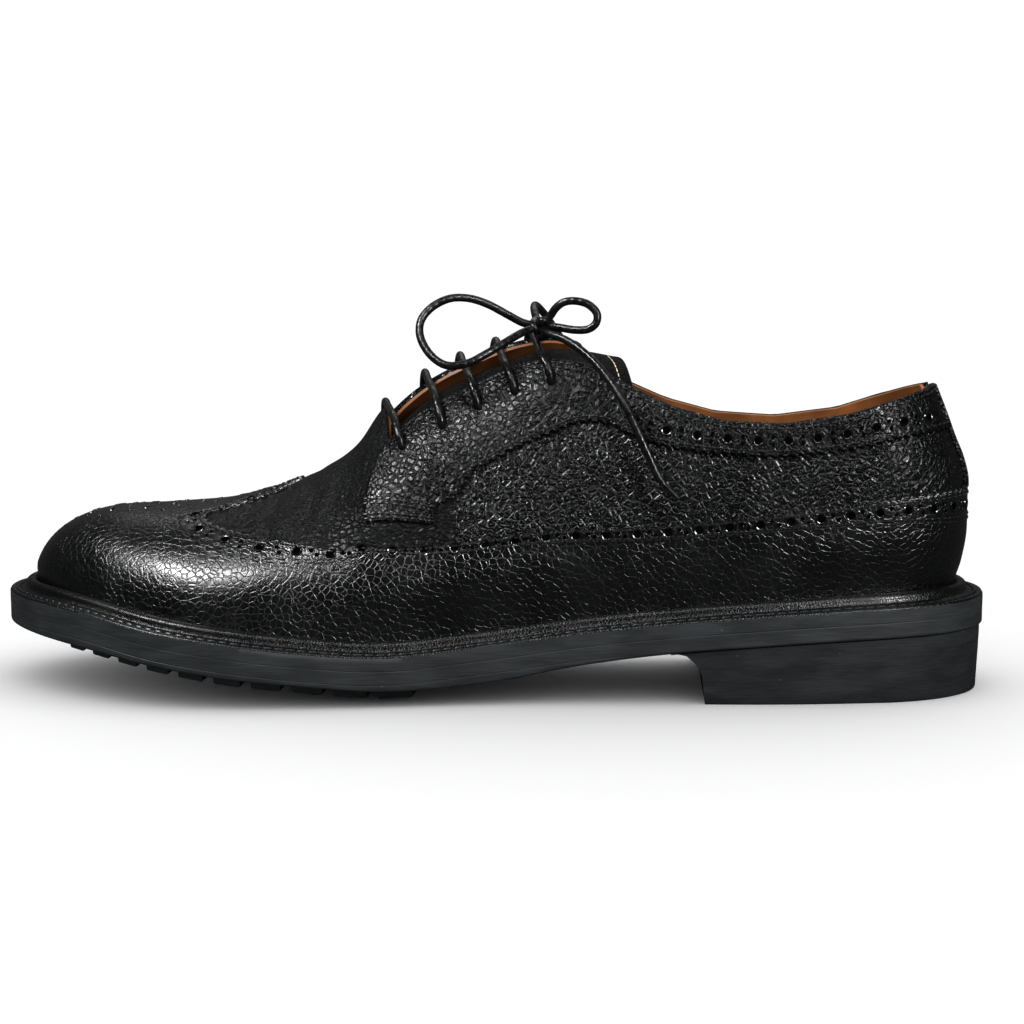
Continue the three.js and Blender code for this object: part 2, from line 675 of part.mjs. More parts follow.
// Back strip over the seam at the heel, from the wing to the collar
function backStripGeometry() {
  const grid = [];
  for (let i = 0; i <= BACK_STRIP.steps; i += 1) {
    const rise = BACK_STRIP.from + ((BACK_STRIP.to - BACK_STRIP.from) * i) / BACK_STRIP.steps;
    const row = [];
    for (const offset of [-1, -0.5, 0, 0.5, 1]) {
      const station = BACK_STRIP.halfStation * Math.abs(offset);
      const angle = offset < 0 ? radians(rise) : Math.PI - radians(rise);
      row.push({ station, angle });
    }
    grid.push(row);
  }
  return toGeometry(overlayShell.intersect(toSolid(patchSolid(grid, -CUT_BELOW, CUT_ABOVE))));
}

// Tongue: a bowed sheet under the facings, its front end under the vamp
function tongueGeometry() {
  const rings = [];
  const steps = 12;
  for (let i = 0; i <= steps; i += 1) {
    const amount = i / steps;
    const over = [];
    const under = [];
    for (let j = 0; j <= 8; j += 1) {
      const across = j / 8;
      const angle = radians(45 + (134 - 45) * across);
      const bow = 1 - Math.pow(2 * across - 1, 2);
      const end = 0.338 + 0.02 * bow;
      const share = 0.665 + (end - 0.665) * amount;
      const sink = -3.0 - 4.5 * bow;
      const station = stationOfShare(share);
      over.push(offsetPoint(station, angle, sink));
      under.push(offsetPoint(station, angle, sink - 2));
    }
    rings.push(over.concat(under.reverse()));
  }
  return facingOut(ringSolid(rings));
}

// The underside of the outsole at a place, curved across the forefoot
function soleUnderside(x, y) {
  const share = shareAtX(x);
  const side = y < centreLine(share) ? soleLateral(share) : soleMedial(share);
  const across = clamp(Math.abs(y - centreLine(share)) / side, 0, 1);
  return soleTop(share) - soleSide(share) - soleCross(share) * (1 - across * across);
}

// A slab between two height functions over an outline, in steps along and across
function slabGeometry(stations, acrossSteps, topAt, bottomAt) {
  const rings = stations.map(({ x, low, high }) => {
    const top = [];
    const bottom = [];
    for (let j = 0; j <= acrossSteps; j += 1) {
      const y = low + ((high - low) * j) / acrossSteps;
      top.push(new THREE.Vector3(x, y, topAt(x, y)));
      bottom.push(new THREE.Vector3(x, y, bottomAt(x, y)));
    }
    return top.concat(bottom.reverse());
  });
  return facingOut(ringSolid(rings));
}

function outlineStations(inset, count) {
  const stations = [];
  for (let i = 0; i <= count; i += 1) {
    const near = outlinePoint(i / count, -1, inset);
    const far = outlinePoint(i / count, 1, inset);
    stations.push({ x: near.x, low: near.y, high: far.y });
  }
  return stations;
}

// The half width limits of the tread at a place along the shoe
function treadLimits(x) {
  const share = shareAtX(x * (SOLE_LENGTH / (SOLE_LENGTH - 2 * TREAD_INSET)));
  const station = stationOfShare(share);
  const near = outlinePoint(station, -1, TREAD_INSET);
  const far = outlinePoint(station, 1, TREAD_INSET);
  return { x, low: near.y, high: far.y };
}

function outsoleGeometry() {
  let solid = toSolid(
    slabGeometry(
      outlineStations(0, 30),
      4,
      (x) => edgeHeight(x) - OUTSOLE_TOP_DROP,
      soleUnderside,
    ),
  );
  let start = LUGS.start;
  for (let k = 0; k < LUGS.count; k += 1) {
    const pitch = LUGS.pitch - LUGS.shorter * k;
    const end = start - pitch + LUGS.gap;
    const lug = slabGeometry(
      [treadLimits(start), treadLimits(end)],
      4,
      (x, y) => soleUnderside(x, y) + LUGS.root,
      (x, y) => Math.max(soleUnderside(x, y) - TREAD_DEPTH, 0),
    );
    solid = solid.add(toSolid(lug));
    start -= pitch;
  }
  return toGeometry(solid);
}

// Heel block with a fillet where its front meets the waist
function heelGeometry() {
  const levels = [
    { height: 0, front: HEEL_BREAST, inset: HEEL_INSET + HEEL_TAPER },
    {
      height: FILLET_START,
      front: HEEL_BREAST - BREAST_SLANT,
      inset: HEEL_INSET + 0.5 * HEEL_TAPER,
    },
    {
      height: FILLET_MIDDLE,
      front: HEEL_BREAST - 0.33 * BREAST_FILLET,
      inset: HEEL_INSET + 0.25 * HEEL_TAPER,
    },
    { height: HEEL_EDGE_HEIGHT, front: HEEL_BREAST - BREAST_FILLET, inset: HEEL_INSET },
  ];
  const count = 14;
  const rings = levels.map(({ height, front, inset }) => {
    const sideOf = (side) => {
      const points = [];
      const endStation = stationOfShare(
        clamp((SOLE_LENGTH / 2 - inset - front) / (SOLE_LENGTH - 2 * inset), 0, 1),
      );
      for (let i = 0; i <= count; i += 1) {
        const p = outlinePoint((endStation * i) / count, side, inset);
        const seat = edgeHeight(p.x) - soleSide(shareAtX(p.x)) - HEEL_SEAT_GAP;
        points.push(new THREE.Vector3(p.x, p.y, Math.min(height, seat)));
      }
      return points;
    };
    const near = sideOf(-1);
    const far = sideOf(1);
    return near.reverse().concat(far.slice(1));
  });
  const body = new Body();
  const ids = rings.map((ring) => ring.map((p) => body.point(p)));
  const around = rings[0].length;
  for (let i = 0; i < rings.length - 1; i += 1) {
    for (let j = 0; j < around; j += 1) {
      const k = (j + 1) % around;
      body.quad(ids[i][j], ids[i][k], ids[i + 1][k], ids[i + 1][j]);
    }
  }
  const top = ids[ids.length - 1];
  for (let j = 0; j < count; j += 1) {
    const [a, b] = [j, j + 1];
    const [c, d] = [around - 2 - j, around - 1 - j];
    body.quad(ids[0][d], ids[0][c], ids[0][b], ids[0][a]);
    body.quad(top[a], top[b], top[c], top[d]);
  }
  return facingOut(body.geometry());
}

// Storm welt: flat rim, rounded bead against the upper, one closed ring
function weltGeometry() {
  const profile = [
    { inset: 0, rise: -TOP_LAYER },
    { inset: 0, rise: -0.8 },
    { inset: 0.8, rise: 0 },
    { inset: 4.5, rise: 0.3 },
    { inset: 5.0, rise: 1.9 },
    { inset: 6.3, rise: BEAD_HEIGHT - 0.1 },
    { inset: 8.0, rise: BEAD_HEIGHT },
    { inset: WELT_INNER_INSET, rise: 2.4 },
    { inset: WELT_INNER_INSET, rise: -TOP_LAYER },
  ];
  const count = 25;
  const ringAt = (station, side) =>
    profile.map(({ inset, rise }) => {
      const p = outlinePoint(station, side, inset);
      return new THREE.Vector3(p.x, p.y, edgeHeight(p.x) + rise);
    });
  const rings = [];
  for (let i = 0; i <= count; i += 1) rings.push(ringAt(i / count, -1));
  for (let i = count - 1; i > 0; i -= 1) rings.push(ringAt(i / count, 1));
  return facingOut(ringSolid(rings, true));
}

function insoleGeometry() {
  const inset = UPPER_INSET + WALL + 0.9;
  return slabGeometry(
    outlineStations(inset, 22),
    2,
    (x) => edgeHeight(x) - FEATHER_DROP + 3.4,
    (x) => edgeHeight(x) - FEATHER_DROP,
  );
}

// Lace bars from the lateral eyelets over both facing edges to the medial eyelets
function laceBarGeometry(row) {
  const near = lateralEyelets[row];
  const far = medialEyelets[row];
  const rest = MEETING_GAP + OVERLAY_THICKNESS + LACE_RADIUS + 0.5;
  const nearEdge = radians(62.5);
  const farEdge = radians(180 - 76);
  const toFar = (amount) => near.station + (far.station - near.station) * amount;
  const over = offsetPoint(toFar(0.25), nearEdge, rest);
  const across = offsetPoint(toFar(0.8), farEdge, rest);
  const points = [
    offsetPoint(near.station, near.angle, -1.2),
    offsetPoint(near.station, near.angle, 1.0),
    offsetPoint(toFar(0.05), near.angle + radians(3), rest),
    over,
    over.clone().lerp(across, 0.33).setZ(over.z * 0.67 + across.z * 0.33 + 0.2),
    over.clone().lerp(across, 0.67).setZ(over.z * 0.33 + across.z * 0.67 + 0.2),
    across,
    offsetPoint(toFar(0.95), far.angle - radians(3), rest),
    offsetPoint(far.station, far.angle, 1.0),
    offsetPoint(far.station, far.angle, -1.2),
  ];
  return tube(points, LACE_RADIUS, 2 * LACE_RADIUS);
}

const vectors = (rows) => rows.map(([x, y, z]) => new THREE.Vector3(x, y, z));

// Free cords of the bow as they lie: the front loop over the lateral facing, the short loop
// behind the knot, and one hanging end on each side
const BOW_PATHS = {
  lace_loop_front: [
    [14.0, -4.6, 113.4],
    [10.2, -4.6, 114.4],
    [6.0, -4.6, 116.6],
    [-0.7, -6.0, 120.2],
    [-6.3, -8.0, 122.0],
    [-12.1, -10.0, 122.0],
    [-17.5, -12.0, 119.4],
    [-20.7, -14.0, 115.5],
    [-21.0, -16.5, 111.2],
    [-18.6, -19.5, 106.4],
    [-14.8, -22.0, 103.0],
    [-11.4, -23.0, 101.8],
    [-5.6, -22.0, 102.6],
    [-0.2, -19.8, 105.3],
    [5.1, -15.4, 108.4],
    [10.9, -9.2, 111.6],
    [14.6, -5.8, 112.8],
  ],
  lace_loop_back: [
    [17.0, -5.0, 114.0],
    [19.2, -5.4, 116.6],
    [20.8, -6.0, 118.9],
    [23.4, -6.5, 120.8],
    [27.2, -7.0, 121.2],
    [31.3, -8.0, 120.0],
    [33.8, -9.0, 117.2],
    [33.5, -9.5, 114.4],
    [31.3, -9.5, 112.6],
    [27.2, -8.2, 112.2],
    [21.6, -5.8, 112.9],
    [17.0, -4.8, 113.4],
  ],
  lace_end_lateral: [
    [16.4, -5.6, 112.2],
    [18.6, -9.8, 111.2],
    [24.5, -14.2, 109.2],
    [32.0, -20.0, 104.0],
    [38.3, -25.5, 97.0],
    [42.8, -30.0, 90.2],
    [46.8, -32.6, 82.0],
    [50.3, -34.0, 74.5],
    [53.5, -35.2, 68.2],
    [59.0, -36.4, 62.6],
  ],
  lace_end_medial: [
    [15.8, -3.6, 113.6],
    [14.4, 0.8, 115.8],
    [13.6, 6.0, 118.2],
    [13.8, 13.0, 119.2],
    [16.0, 20.0, 116.6],
    [20.0, 27.0, 110.4],
    [25.0, 32.5, 102.0],
    [30.0, 36.0, 92.0],
    [34.5, 38.0, 81.0],
    [38.5, 39.2, 70.0],
  ],
};

// An egg-shaped lump grown by a margin
function knotForm(margin) {
  const geometry = new THREE.SphereGeometry(1, 10, 6);
  geometry.scale(KNOT.length / 2 + margin, KNOT.width / 2 + margin, KNOT.height / 2 + margin);
  geometry.translate(KNOT.x, KNOT.y, KNOT.z);
  return facingOut(cleaned(geometry));
}

// A cord of the bow, ending a touching gap short of the knot
function bowGeometry(rows) {
  const cord = toSolid(tube(vectors(rows), LACE_RADIUS, 5 * LACE_RADIUS));
  return toGeometry(cord.subtract(toSolid(knotForm(TOUCHING_GAP))));
}

const looks = {
  leather: { color: 0x14161a, roughness: 0.35, metalness: 0 },
  wingLeather: { color: 0x121417, roughness: 0.25, metalness: 0 },
  rubber: { color: 0x25292c, roughness: 0.7, metalness: 0 },
  heelRubber: { color: 0x222629, roughness: 0.65, metalness: 0 },
  welt: { color: 0x17191c, roughness: 0.5, metalness: 0 },
  lining: { color: 0xa0643a, roughness: 0.7, metalness: 0 },
  lace: { color: 0x0f1012, roughness: 0.45, metalness: 0 },
};

const shoe = new THREE.Group();
shoe.position.y = MIDDLE_SHIFT;

function place(name, geometry, look) {
  const mesh = new THREE.Mesh(geometry, new THREE.MeshStandardMaterial(looks[look]));
  mesh.name = name;
  shoe.add(mesh);
}

place("upper", upperGeometry(), "leather");
place("wing_overlay", wingGeometry(), "wingLeather");
place("facing_lateral", facingGeometry(FACING_LATERAL, false, lateralCuts), "leather");
place("facing_medial", facingGeometry(FACING_MEDIAL, true, medialCuts), "leather");
place("back_strip", backStripGeometry(), "leather");
place("tongue", tongueGeometry(), "leather");
place("insole", insoleGeometry(), "lining");
place("welt", weltGeometry(), "welt");
place("outsole", outsoleGeometry(), "rubber");
place("heel_block", heelGeometry(), "heelRubber");
EYELETS.forEach((_, row) => place(`lace_bar_${row + 1}`, laceBarGeometry(row), "lace"));
place("lace_knot", knotForm(0), "lace");
for (const [name, rows] of Object.entries(BOW_PATHS)) place(name, bowGeometry(rows), "lace");

export default shoe;
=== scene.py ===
"""Left full brogue derby shoe, dressed for a plain studio view.

The shoe stands in the frame of its solids: toe to -X, lateral side to -Y, floor at Z = 0.
Shapes are worked out in millimetres and go into the meshes in metres.
"""

from __future__ import annotations

import json
import logging
import math
from dataclasses import dataclass
from enum import Enum
from typing import Callable

import bmesh
import bpy
import numpy as np
from mathutils import Matrix, Vector

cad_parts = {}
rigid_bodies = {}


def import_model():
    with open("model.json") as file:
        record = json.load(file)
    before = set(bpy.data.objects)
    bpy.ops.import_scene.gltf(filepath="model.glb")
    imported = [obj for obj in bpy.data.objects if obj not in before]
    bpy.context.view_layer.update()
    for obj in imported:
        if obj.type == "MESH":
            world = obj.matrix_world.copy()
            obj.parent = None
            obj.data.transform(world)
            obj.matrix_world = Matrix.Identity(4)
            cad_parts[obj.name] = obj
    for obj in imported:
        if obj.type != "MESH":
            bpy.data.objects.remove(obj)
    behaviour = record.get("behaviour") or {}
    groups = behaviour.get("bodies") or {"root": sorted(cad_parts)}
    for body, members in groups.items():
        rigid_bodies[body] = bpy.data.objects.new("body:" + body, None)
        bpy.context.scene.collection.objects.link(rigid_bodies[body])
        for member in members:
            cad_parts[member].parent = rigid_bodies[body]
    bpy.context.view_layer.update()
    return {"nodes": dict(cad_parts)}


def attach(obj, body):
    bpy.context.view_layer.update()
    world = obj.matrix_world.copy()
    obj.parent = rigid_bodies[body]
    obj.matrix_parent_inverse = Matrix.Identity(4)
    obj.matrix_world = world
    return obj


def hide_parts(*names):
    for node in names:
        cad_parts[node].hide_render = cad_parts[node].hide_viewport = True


LOG = logging.getLogger("brogue")
MM = 0.001
MIDDLE_SHIFT = 0.9
BODY = "root"

# Sole by share of length from the heel: share, lateral and medial half width over SOLE_WIDTH,
# edge height over HEEL_EDGE_HEIGHT, side height over SOLE_SIDE, curve across over CROSS_CURVE
SOLE_ROWS = [
    (0.0, 0.292, 0.306, 1.02, 0.776, 0.0),
    (0.1, 0.333, 0.333, 0.993, 0.776, 0.0),
    (0.2, 0.37, 0.347, 0.94, 0.776, 0.0),
    (0.3, 0.381, 0.338, 0.863, 0.776, 0.0),
    (0.4, 0.383, 0.324, 0.753, 0.832, 0.15),
    (0.5, 0.413, 0.343, 0.62, 0.944, 0.6),
    (0.6, 0.461, 0.403, 0.53, 0.88, 1.0),
    (0.68, 0.494, 0.454, 0.59, 0.85, 1.0),
    (0.75, 0.513, 0.481, 0.677, 0.87, 1.0),
    (0.82, 0.511, 0.491, 0.78, 0.85, 0.9),
    (0.9, 0.478, 0.481, 0.92, 0.88, 0.6),
    (1.0, 0.417, 0.435, 0.973, 0.8, 0.0),
]

# Upper: share, lateral and medial bulge over UPPER_SWELL, crown power, ridge shift over RIDGE_SHIFT
UPPER_ROWS = [
    (0.0, 0.4, 0.4, 0.52, 0.0),
    (0.1, 0.4, 0.5, 0.5, 0.0),
    (0.2, 0.2, 0.5, 0.52, 0.0),
    (0.3, 0.2, 0.6, 0.62, 0.143),
    (0.4, 0.4, 0.8, 0.88, 0.429),
    (0.5, 0.6, 0.9, 1.15, 0.857),
    (0.6, 0.56, 0.7, 1.2, 1.0),
    (0.68, 0.56, 0.56, 1.05, 0.857),
    (0.75, 0.56, 0.5, 0.95, 0.714),
    (0.82, 0.5, 0.4, 0.88, 0.714),
    (0.9, 0.4, 0.3, 0.82, 0.714),
    (1.0, 0.3, 0.2, 0.8, 0.714),
]

# Ridge line: share and height over THROAT_HEIGHT
RIDGE_ROWS = [
    (0.026, 0.952),
    (0.308, 0.959),
    (0.365, 0.974),
    (0.404, 0.992),
    (0.436, 0.998),
    (0.462, 0.985),
    (0.494, 0.955),
    (0.532, 0.91),
    (0.564, 0.865),
    (0.59, 0.815),
    (0.615, 0.749),
    (0.635, 0.668),
    (0.651, 0.627),
    (0.675, 0.589),
    (0.712, 0.539),
    (0.74, 0.515),
    (0.772, 0.495),
    (0.808, 0.485),
    (0.856, 0.476),
    (0.907, 0.474),
    (1.013, 0.474),
]

# Heel back: rise over BACK_RISE and shift over BACK_LEAN
BACK_ROWS = [
    (0.0, 0.0),
    (0.095, 0.022),
    (0.189, 0.244),
    (0.338, 0.411),
    (0.514, 0.411),
    (0.622, 0.222),
    (0.703, -0.056),
    (0.811, -0.389),
    (0.905, -0.7),
    (1.0, -1.011),
    (1.284, -2.0),
]

# Wing edge of one side, heel back to the peak on the vamp: share, angle
WING_EDGE = [
    (0.0, 27.5),
    (0.078, 26.2),
    (0.19, 23.6),
    (0.31, 21.8),
    (0.43, 21.2),
    (0.551, 23.0),
    (0.6, 25.6),
    (0.645, 31.5),
    (0.683, 38.0),
    (0.72, 45.5),
    (0.755, 52.0),
    (0.782, 58.5),
    (0.797, 63.5),
    (0.8035, 68.5),
    (0.797, 72.8),
    (0.778, 75.6),
    (0.752, 78.2),
    (0.727, 82.5),
    (0.706, 90.0),
]

# Facing and collar band, front to back: edge share and angle, inner share and angle
FACING_LATERAL = [
    (0.625, 35.6, 0.553, 28.0),
    (0.627, 42.7, 0.552, 31.5),
    (0.622, 50.5, 0.528, 32.5),
    (0.607, 57.5, 0.516, 35.9),
    (0.572, 60.5, 0.5, 37.4),
    (0.519, 62.0, 0.475, 39.0),
    (0.455, 63.8, 0.43, 41.5),
    (0.394, 62.5, 0.402, 44.0),
    (0.381, 61.0, 0.385, 44.6),
    (0.367, 59.5, 0.37, 44.4),
    (0.341, 55.8, 0.352, 42.4),
    (0.301, 51.0, 0.315, 39.6),
    (0.249, 47.2, 0.257, 37.6),
    (0.182, 46.3, 0.187, 36.6),
    (0.112, 48.8, 0.113, 38.2),
    (0.055, 53.1, 0.055, 40.9),
    (0.0045, 57.4, 0.0045, 42.5),
]
FACING_MEDIAL = [
    (0.652, 36.0, 0.58, 30.0),
    (0.655, 46.0, 0.58, 34.0),
    (0.65, 57.0, 0.556, 36.0),
    (0.636, 67.0, 0.545, 41.0),
    (0.603, 72.0, 0.53, 44.5),
    (0.549, 74.5, 0.51, 46.5),
    (0.485, 75.0, 0.455, 48.5),
    (0.412, 71.0, 0.42, 48.5),
    (0.398, 66.0, 0.402, 47.5),
    (0.382, 61.5, 0.385, 46.2),
    (0.353, 56.0, 0.362, 43.3),
    (0.308, 50.5, 0.32, 39.2),
    (0.252, 46.3, 0.26, 37.0),
    (0.184, 44.9, 0.189, 36.0),
    (0.112, 47.3, 0.113, 37.8),
    (0.055, 52.3, 0.055, 40.7),
    (0.0045, 57.4, 0.0045, 42.5),
]

# Eyelet rows, front to back: lateral share and angle, medial share and angle
EYELETS = [
    (0.589, 51.0, 0.62, 59.0),
    (0.547, 51.5, 0.578, 62.5),
    (0.509, 53.0, 0.54, 64.5),
    (0.47, 54.2, 0.501, 65.5),
    (0.432, 55.2, 0.463, 65.5),
]

# Routes of the bow's free cords, from the knot outward, in millimetres
BOW_PATHS = {
    "lace_loop_front": [
        (14.0, -4.6, 113.4),
        (10.2, -4.6, 114.4),
        (6.0, -4.6, 116.6),
        (-0.7, -6.0, 120.2),
        (-6.3, -8.0, 122.0),
        (-12.1, -10.0, 122.0),
        (-17.5, -12.0, 119.4),
        (-20.7, -14.0, 115.5),
        (-21.0, -16.5, 111.2),
        (-18.6, -19.5, 106.4),
        (-14.8, -22.0, 103.0),
        (-11.4, -23.0, 101.8),
        (-5.6, -22.0, 102.6),
        (-0.2, -19.8, 105.3),
        (5.1, -15.4, 108.4),
        (10.9, -9.2, 111.6),
        (14.6, -5.8, 112.8),
    ],
    "lace_loop_back": [
        (17.0, -5.0, 114.0),
        (19.2, -5.4, 116.6),
        (20.8, -6.0, 118.9),
        (23.4, -6.5, 120.8),
        (27.2, -7.0, 121.2),
        (31.3, -8.0, 120.0),
        (33.8, -9.0, 117.2),
        (33.5, -9.5, 114.4),
        (31.3, -9.5, 112.6),
        (27.2, -8.2, 112.2),
        (21.6, -5.8, 112.9),
        (17.0, -4.8, 113.4),
    ],
    "lace_end_lateral": [
        (16.4, -5.6, 112.2),
        (18.6, -9.8, 111.2),
        (24.5, -14.2, 109.2),
        (32.0, -20.0, 104.0),
        (38.3, -25.5, 97.0),
        (42.8, -30.0, 90.2),
        (46.8, -32.6, 82.0),
        (50.3, -34.0, 74.5),
        (53.5, -35.2, 68.2),
        (59.0, -36.4, 62.6),
    ],
    "lace_end_medial": [
        (15.8, -3.6, 113.6),
        (14.4, 0.8, 115.8),
        (13.6, 6.0, 118.2),
        (13.8, 13.0, 119.2),
        (16.0, 20.0, 116.6),
        (20.0, 27.0, 110.4),
        (25.0, 32.5, 102.0),
        (30.0, 36.0, 92.0),
        (34.5, 38.0, 81.0),
        (38.5, 39.2, 70.0),
    ],
}


class Side(Enum):
    """The two sides of the shoe, by the sign of Y."""

    LATERAL = -1
    MEDIAL = 1


def smooth_table(keys: np.ndarray, values: np.ndarray) -> Callable[[np.ndarray], np.ndarray]:
    """A smooth curve through the rows of a table.

    Formula: a cubic Hermite piece between each two rows, whose slope at a row is the mean of
    the slopes on its two sides, or zero where those have different signs.

    Args:
        keys: rising keys of the rows.
        values: the value of each row.

    Returns:
        A function of an array of keys.
    """
    keys, values = np.asarray(keys, float), np.asarray(values, float)
    slopes = np.diff(values) / np.diff(keys)
    inner = np.where(slopes[:-1] * slopes[1:] <= 0, 0.0, (slopes[:-1] + slopes[1:]) / 2)
    tangents = np.concatenate([slopes[:1], inner, slopes[-1:]])

    def evaluate(at: np.ndarray) -> np.ndarray:
        """Value of the curve at the keys in at."""
        x = np.clip(at, keys[0], keys[-1])
        i = np.clip(np.searchsorted(keys, x, side="right") - 1, 0, len(keys) - 2)
        step = keys[i + 1] - keys[i]
        u = (x - keys[i]) / step
        v = 1 - u
        return (
            (1 + 2 * u) * v * v * values[i]
            + u * v * v * step * tangents[i]
            + u * u * (3 - 2 * u) * values[i + 1]
            - u * u * v * step * tangents[i + 1]
        )

    return evaluate


def smoothstep(x: np.ndarray, low: float, high: float) -> np.ndarray:
    """Rises from 0 at low to 1 at high with level ends."""
    t = np.clip((x - low) / (high - low), 0, 1)
    return t * t * (3 - 2 * t)


def closing(distance: np.ndarray, radius: float, power: float) -> np.ndarray:
    """Rounded closing toward an end: (1 - (1 - distance / radius) ** power) ** (1 / power)."""
    q = np.clip(1 - distance / radius, 0, 1)
    return (1 - q**power) ** (1 / power)


def station_of(share: np.ndarray) -> np.ndarray:
    """Station of a share of the length: arccos(1 - 2 share) / pi."""
    return np.arccos(1 - 2 * np.asarray(share, float)) / np.pi


def unit(v: np.ndarray) -> np.ndarray:
    """Vectors of length one along the last axis."""
    return v / np.maximum(np.linalg.norm(v, axis=-1, keepdims=True), 1e-12)


def column(rows: list[tuple[float, ...]], i: int) -> np.ndarray:
    """One column of a table as an array."""
    return np.array([row[i] for row in rows], float)


@dataclass(frozen=True)
class Last:
    """The form of the shoe: the sole's outline and the surface that the upper follows."""

    sole_length: float = 312.0
    sole_width: float = 108.0
    heel_edge_height: float = 30.0
    sole_side: float = 12.5
    cross_curve: float = 2.0
    upper_swell: float = 5.0
    ridge_shift: float = 7.0
    throat_height: float = 113.5
    back_rise: float = 74.0
    back_lean: float = 9.0
    heel_radius: float = 38.0
    heel_power: float = 2.25
    toe_radius: float = 80.0
    toe_power: float = 2.2
    cap_radius: float = 34.0
    cap_power: float = 2.5
    upper_inset: float = 10.0
    feather_drop: float = 4.0
    toe_lean: float = 2.0

    def along(self, rows: list[tuple[float, ...]], i: int, share: np.ndarray) -> np.ndarray:
        """A table's column at a share of the length."""
        return smooth_table(column(rows, 0), column(rows, i))(share)

    def centre(self, share: np.ndarray) -> np.ndarray:
        """Sideways place of the centre line."""
        return smooth_table(np.array([0, 0.6, 0.8, 1]), np.array([0, 0, 1, 5]))(share)

    def share_at(self, x: np.ndarray) -> np.ndarray:
        """Share of the sole's length at X."""
        return np.clip(0.5 - x / self.sole_length, 0, 1)

    def edge_height(self, x: np.ndarray) -> np.ndarray:
        """Height of the welt's edge at X."""
        return self.heel_edge_height * self.along(SOLE_ROWS, 3, self.share_at(x))

    def side_height(self, x: np.ndarray) -> np.ndarray:
        """Height of the sole's side at X."""
        return self.sole_side * self.along(SOLE_ROWS, 4, self.share_at(x))

    def outline(self, station: np.ndarray, side: np.ndarray, inset: np.ndarray) -> tuple[np.ndarray, ...]:
        """The sole's outline moved inward.

        Formula: the half width of the side less the inset, closed at the heel and the toe by
        rounded closings of the distance to each end, about the centre line.

        Args:
            station: 0 at the heel to 1 at the toe.
            side: -1 lateral, 1 medial.
            inset: distance inward.

        Returns:
            x, y, share, the ends' closing and the half width.
        """
        share = (1 - np.cos(np.pi * station)) / 2
        length = self.sole_length - 2 * inset
        x = length / 2 - share * length
        ends = closing(share * length, self.heel_radius - inset, self.heel_power) * closing(
            (1 - share) * length, self.toe_radius - inset, self.toe_power
        )
        lateral = self.sole_width * self.along(SOLE_ROWS, 1, share)
        medial = self.sole_width * self.along(SOLE_ROWS, 2, share)
        half = np.where(side < 0, lateral, medial) - inset
        return x, self.centre(share) + side * half * ends, share, ends, half

    def point(self, station: np.ndarray, angle: np.ndarray) -> np.ndarray:
        """A point of the upper's form.

        Formula: the height follows the sine of the angle up to the ridge, the width follows a
        power of its cosine, the sides bulge over the feather line, and the heel's back and the
        toe lean by their own tables.

        Args:
            station: 0 at the heel to 1 at the toe.
            angle: 0 at the lateral feather line to pi at the medial one.

        Returns:
            Points, with X, Y and Z on the last axis.
        """
        station, angle = np.broadcast_arrays(np.asarray(station, float), np.asarray(angle, float))
        cosine = np.cos(angle)
        side = np.where(cosine > 0, -1, 1)
        x, _, share, ends, half = self.outline(station, side, self.upper_inset)
        length = self.sole_length - 2 * self.upper_inset
        foot = self.edge_height(x) - self.feather_drop
        ridge = self.throat_height * self.along(RIDGE_ROWS, 1, self.share_at(x))
        tall = (ridge - foot) * closing((1 - share) * length, self.cap_radius, self.cap_power)
        rise = tall * np.clip(np.sin(angle), 0, 1)
        bulges = np.where(
            side < 0, self.along(UPPER_ROWS, 1, share), self.along(UPPER_ROWS, 2, share)
        )
        width = (half + self.upper_swell * bulges * smoothstep(rise, 6, 26)) * ends
        lift = np.where(tall > 1e-9, rise / np.maximum(tall, 1e-9), 0)
        crown = self.along(UPPER_ROWS, 3, share)
        shift = self.ridge_shift * self.along(UPPER_ROWS, 4, share)
        y = (
            self.centre(share)
            + side * width * np.abs(cosine) ** crown
            + shift * ends * lift**2 * np.clip(tall / 40, 0, 1)
        )
        lean = self.back_lean * smooth_table(
            column(BACK_ROWS, 0) * self.back_rise, column(BACK_ROWS, 1)
        )(rise)
        heel_fade = np.clip(1 - share / 0.3, 0, 1) ** 1.5
        toe_fade = np.clip(1 - (1 - share) / 0.12, 0, 1) ** 1.5
        x = x + lean * heel_fade - self.toe_lean * toe_fade * smoothstep(rise, 5, 12)
        return np.stack([x, y, foot + rise], axis=-1)

    def normal(self, station: np.ndarray, angle: np.ndarray) -> np.ndarray:
        """Outward normal of the form, from small steps along and round it."""
        station, angle = np.broadcast_arrays(np.asarray(station, float), np.asarray(angle, float))
        folded = station < 1e-4
        turned = np.where(folded, np.minimum(angle, np.pi - angle), angle)
        s = np.clip(station, 0.006, 0.994)
        a = np.clip(turned, 0.012, np.pi - 0.012)
        along = self.point(s + 0.004, a) - self.point(s - 0.004, a)
        around = self.point(s, a + 0.01) - self.point(s, a - 0.01)
        n = np.cross(around, along)
        n[..., 1] = np.where(folded, 0, n[..., 1])
        n = unit(n)
        return np.where((station > 0.9999)[..., None], np.array([-1.0, 0, 0]), n)

    def offset(self, station: np.ndarray, angle: np.ndarray, height: np.ndarray) -> np.ndarray:
        """Points at a height over the form."""
        return self.point(station, angle) + self.normal(station, angle) * np.asarray(height)[..., None]


LAST = Last()


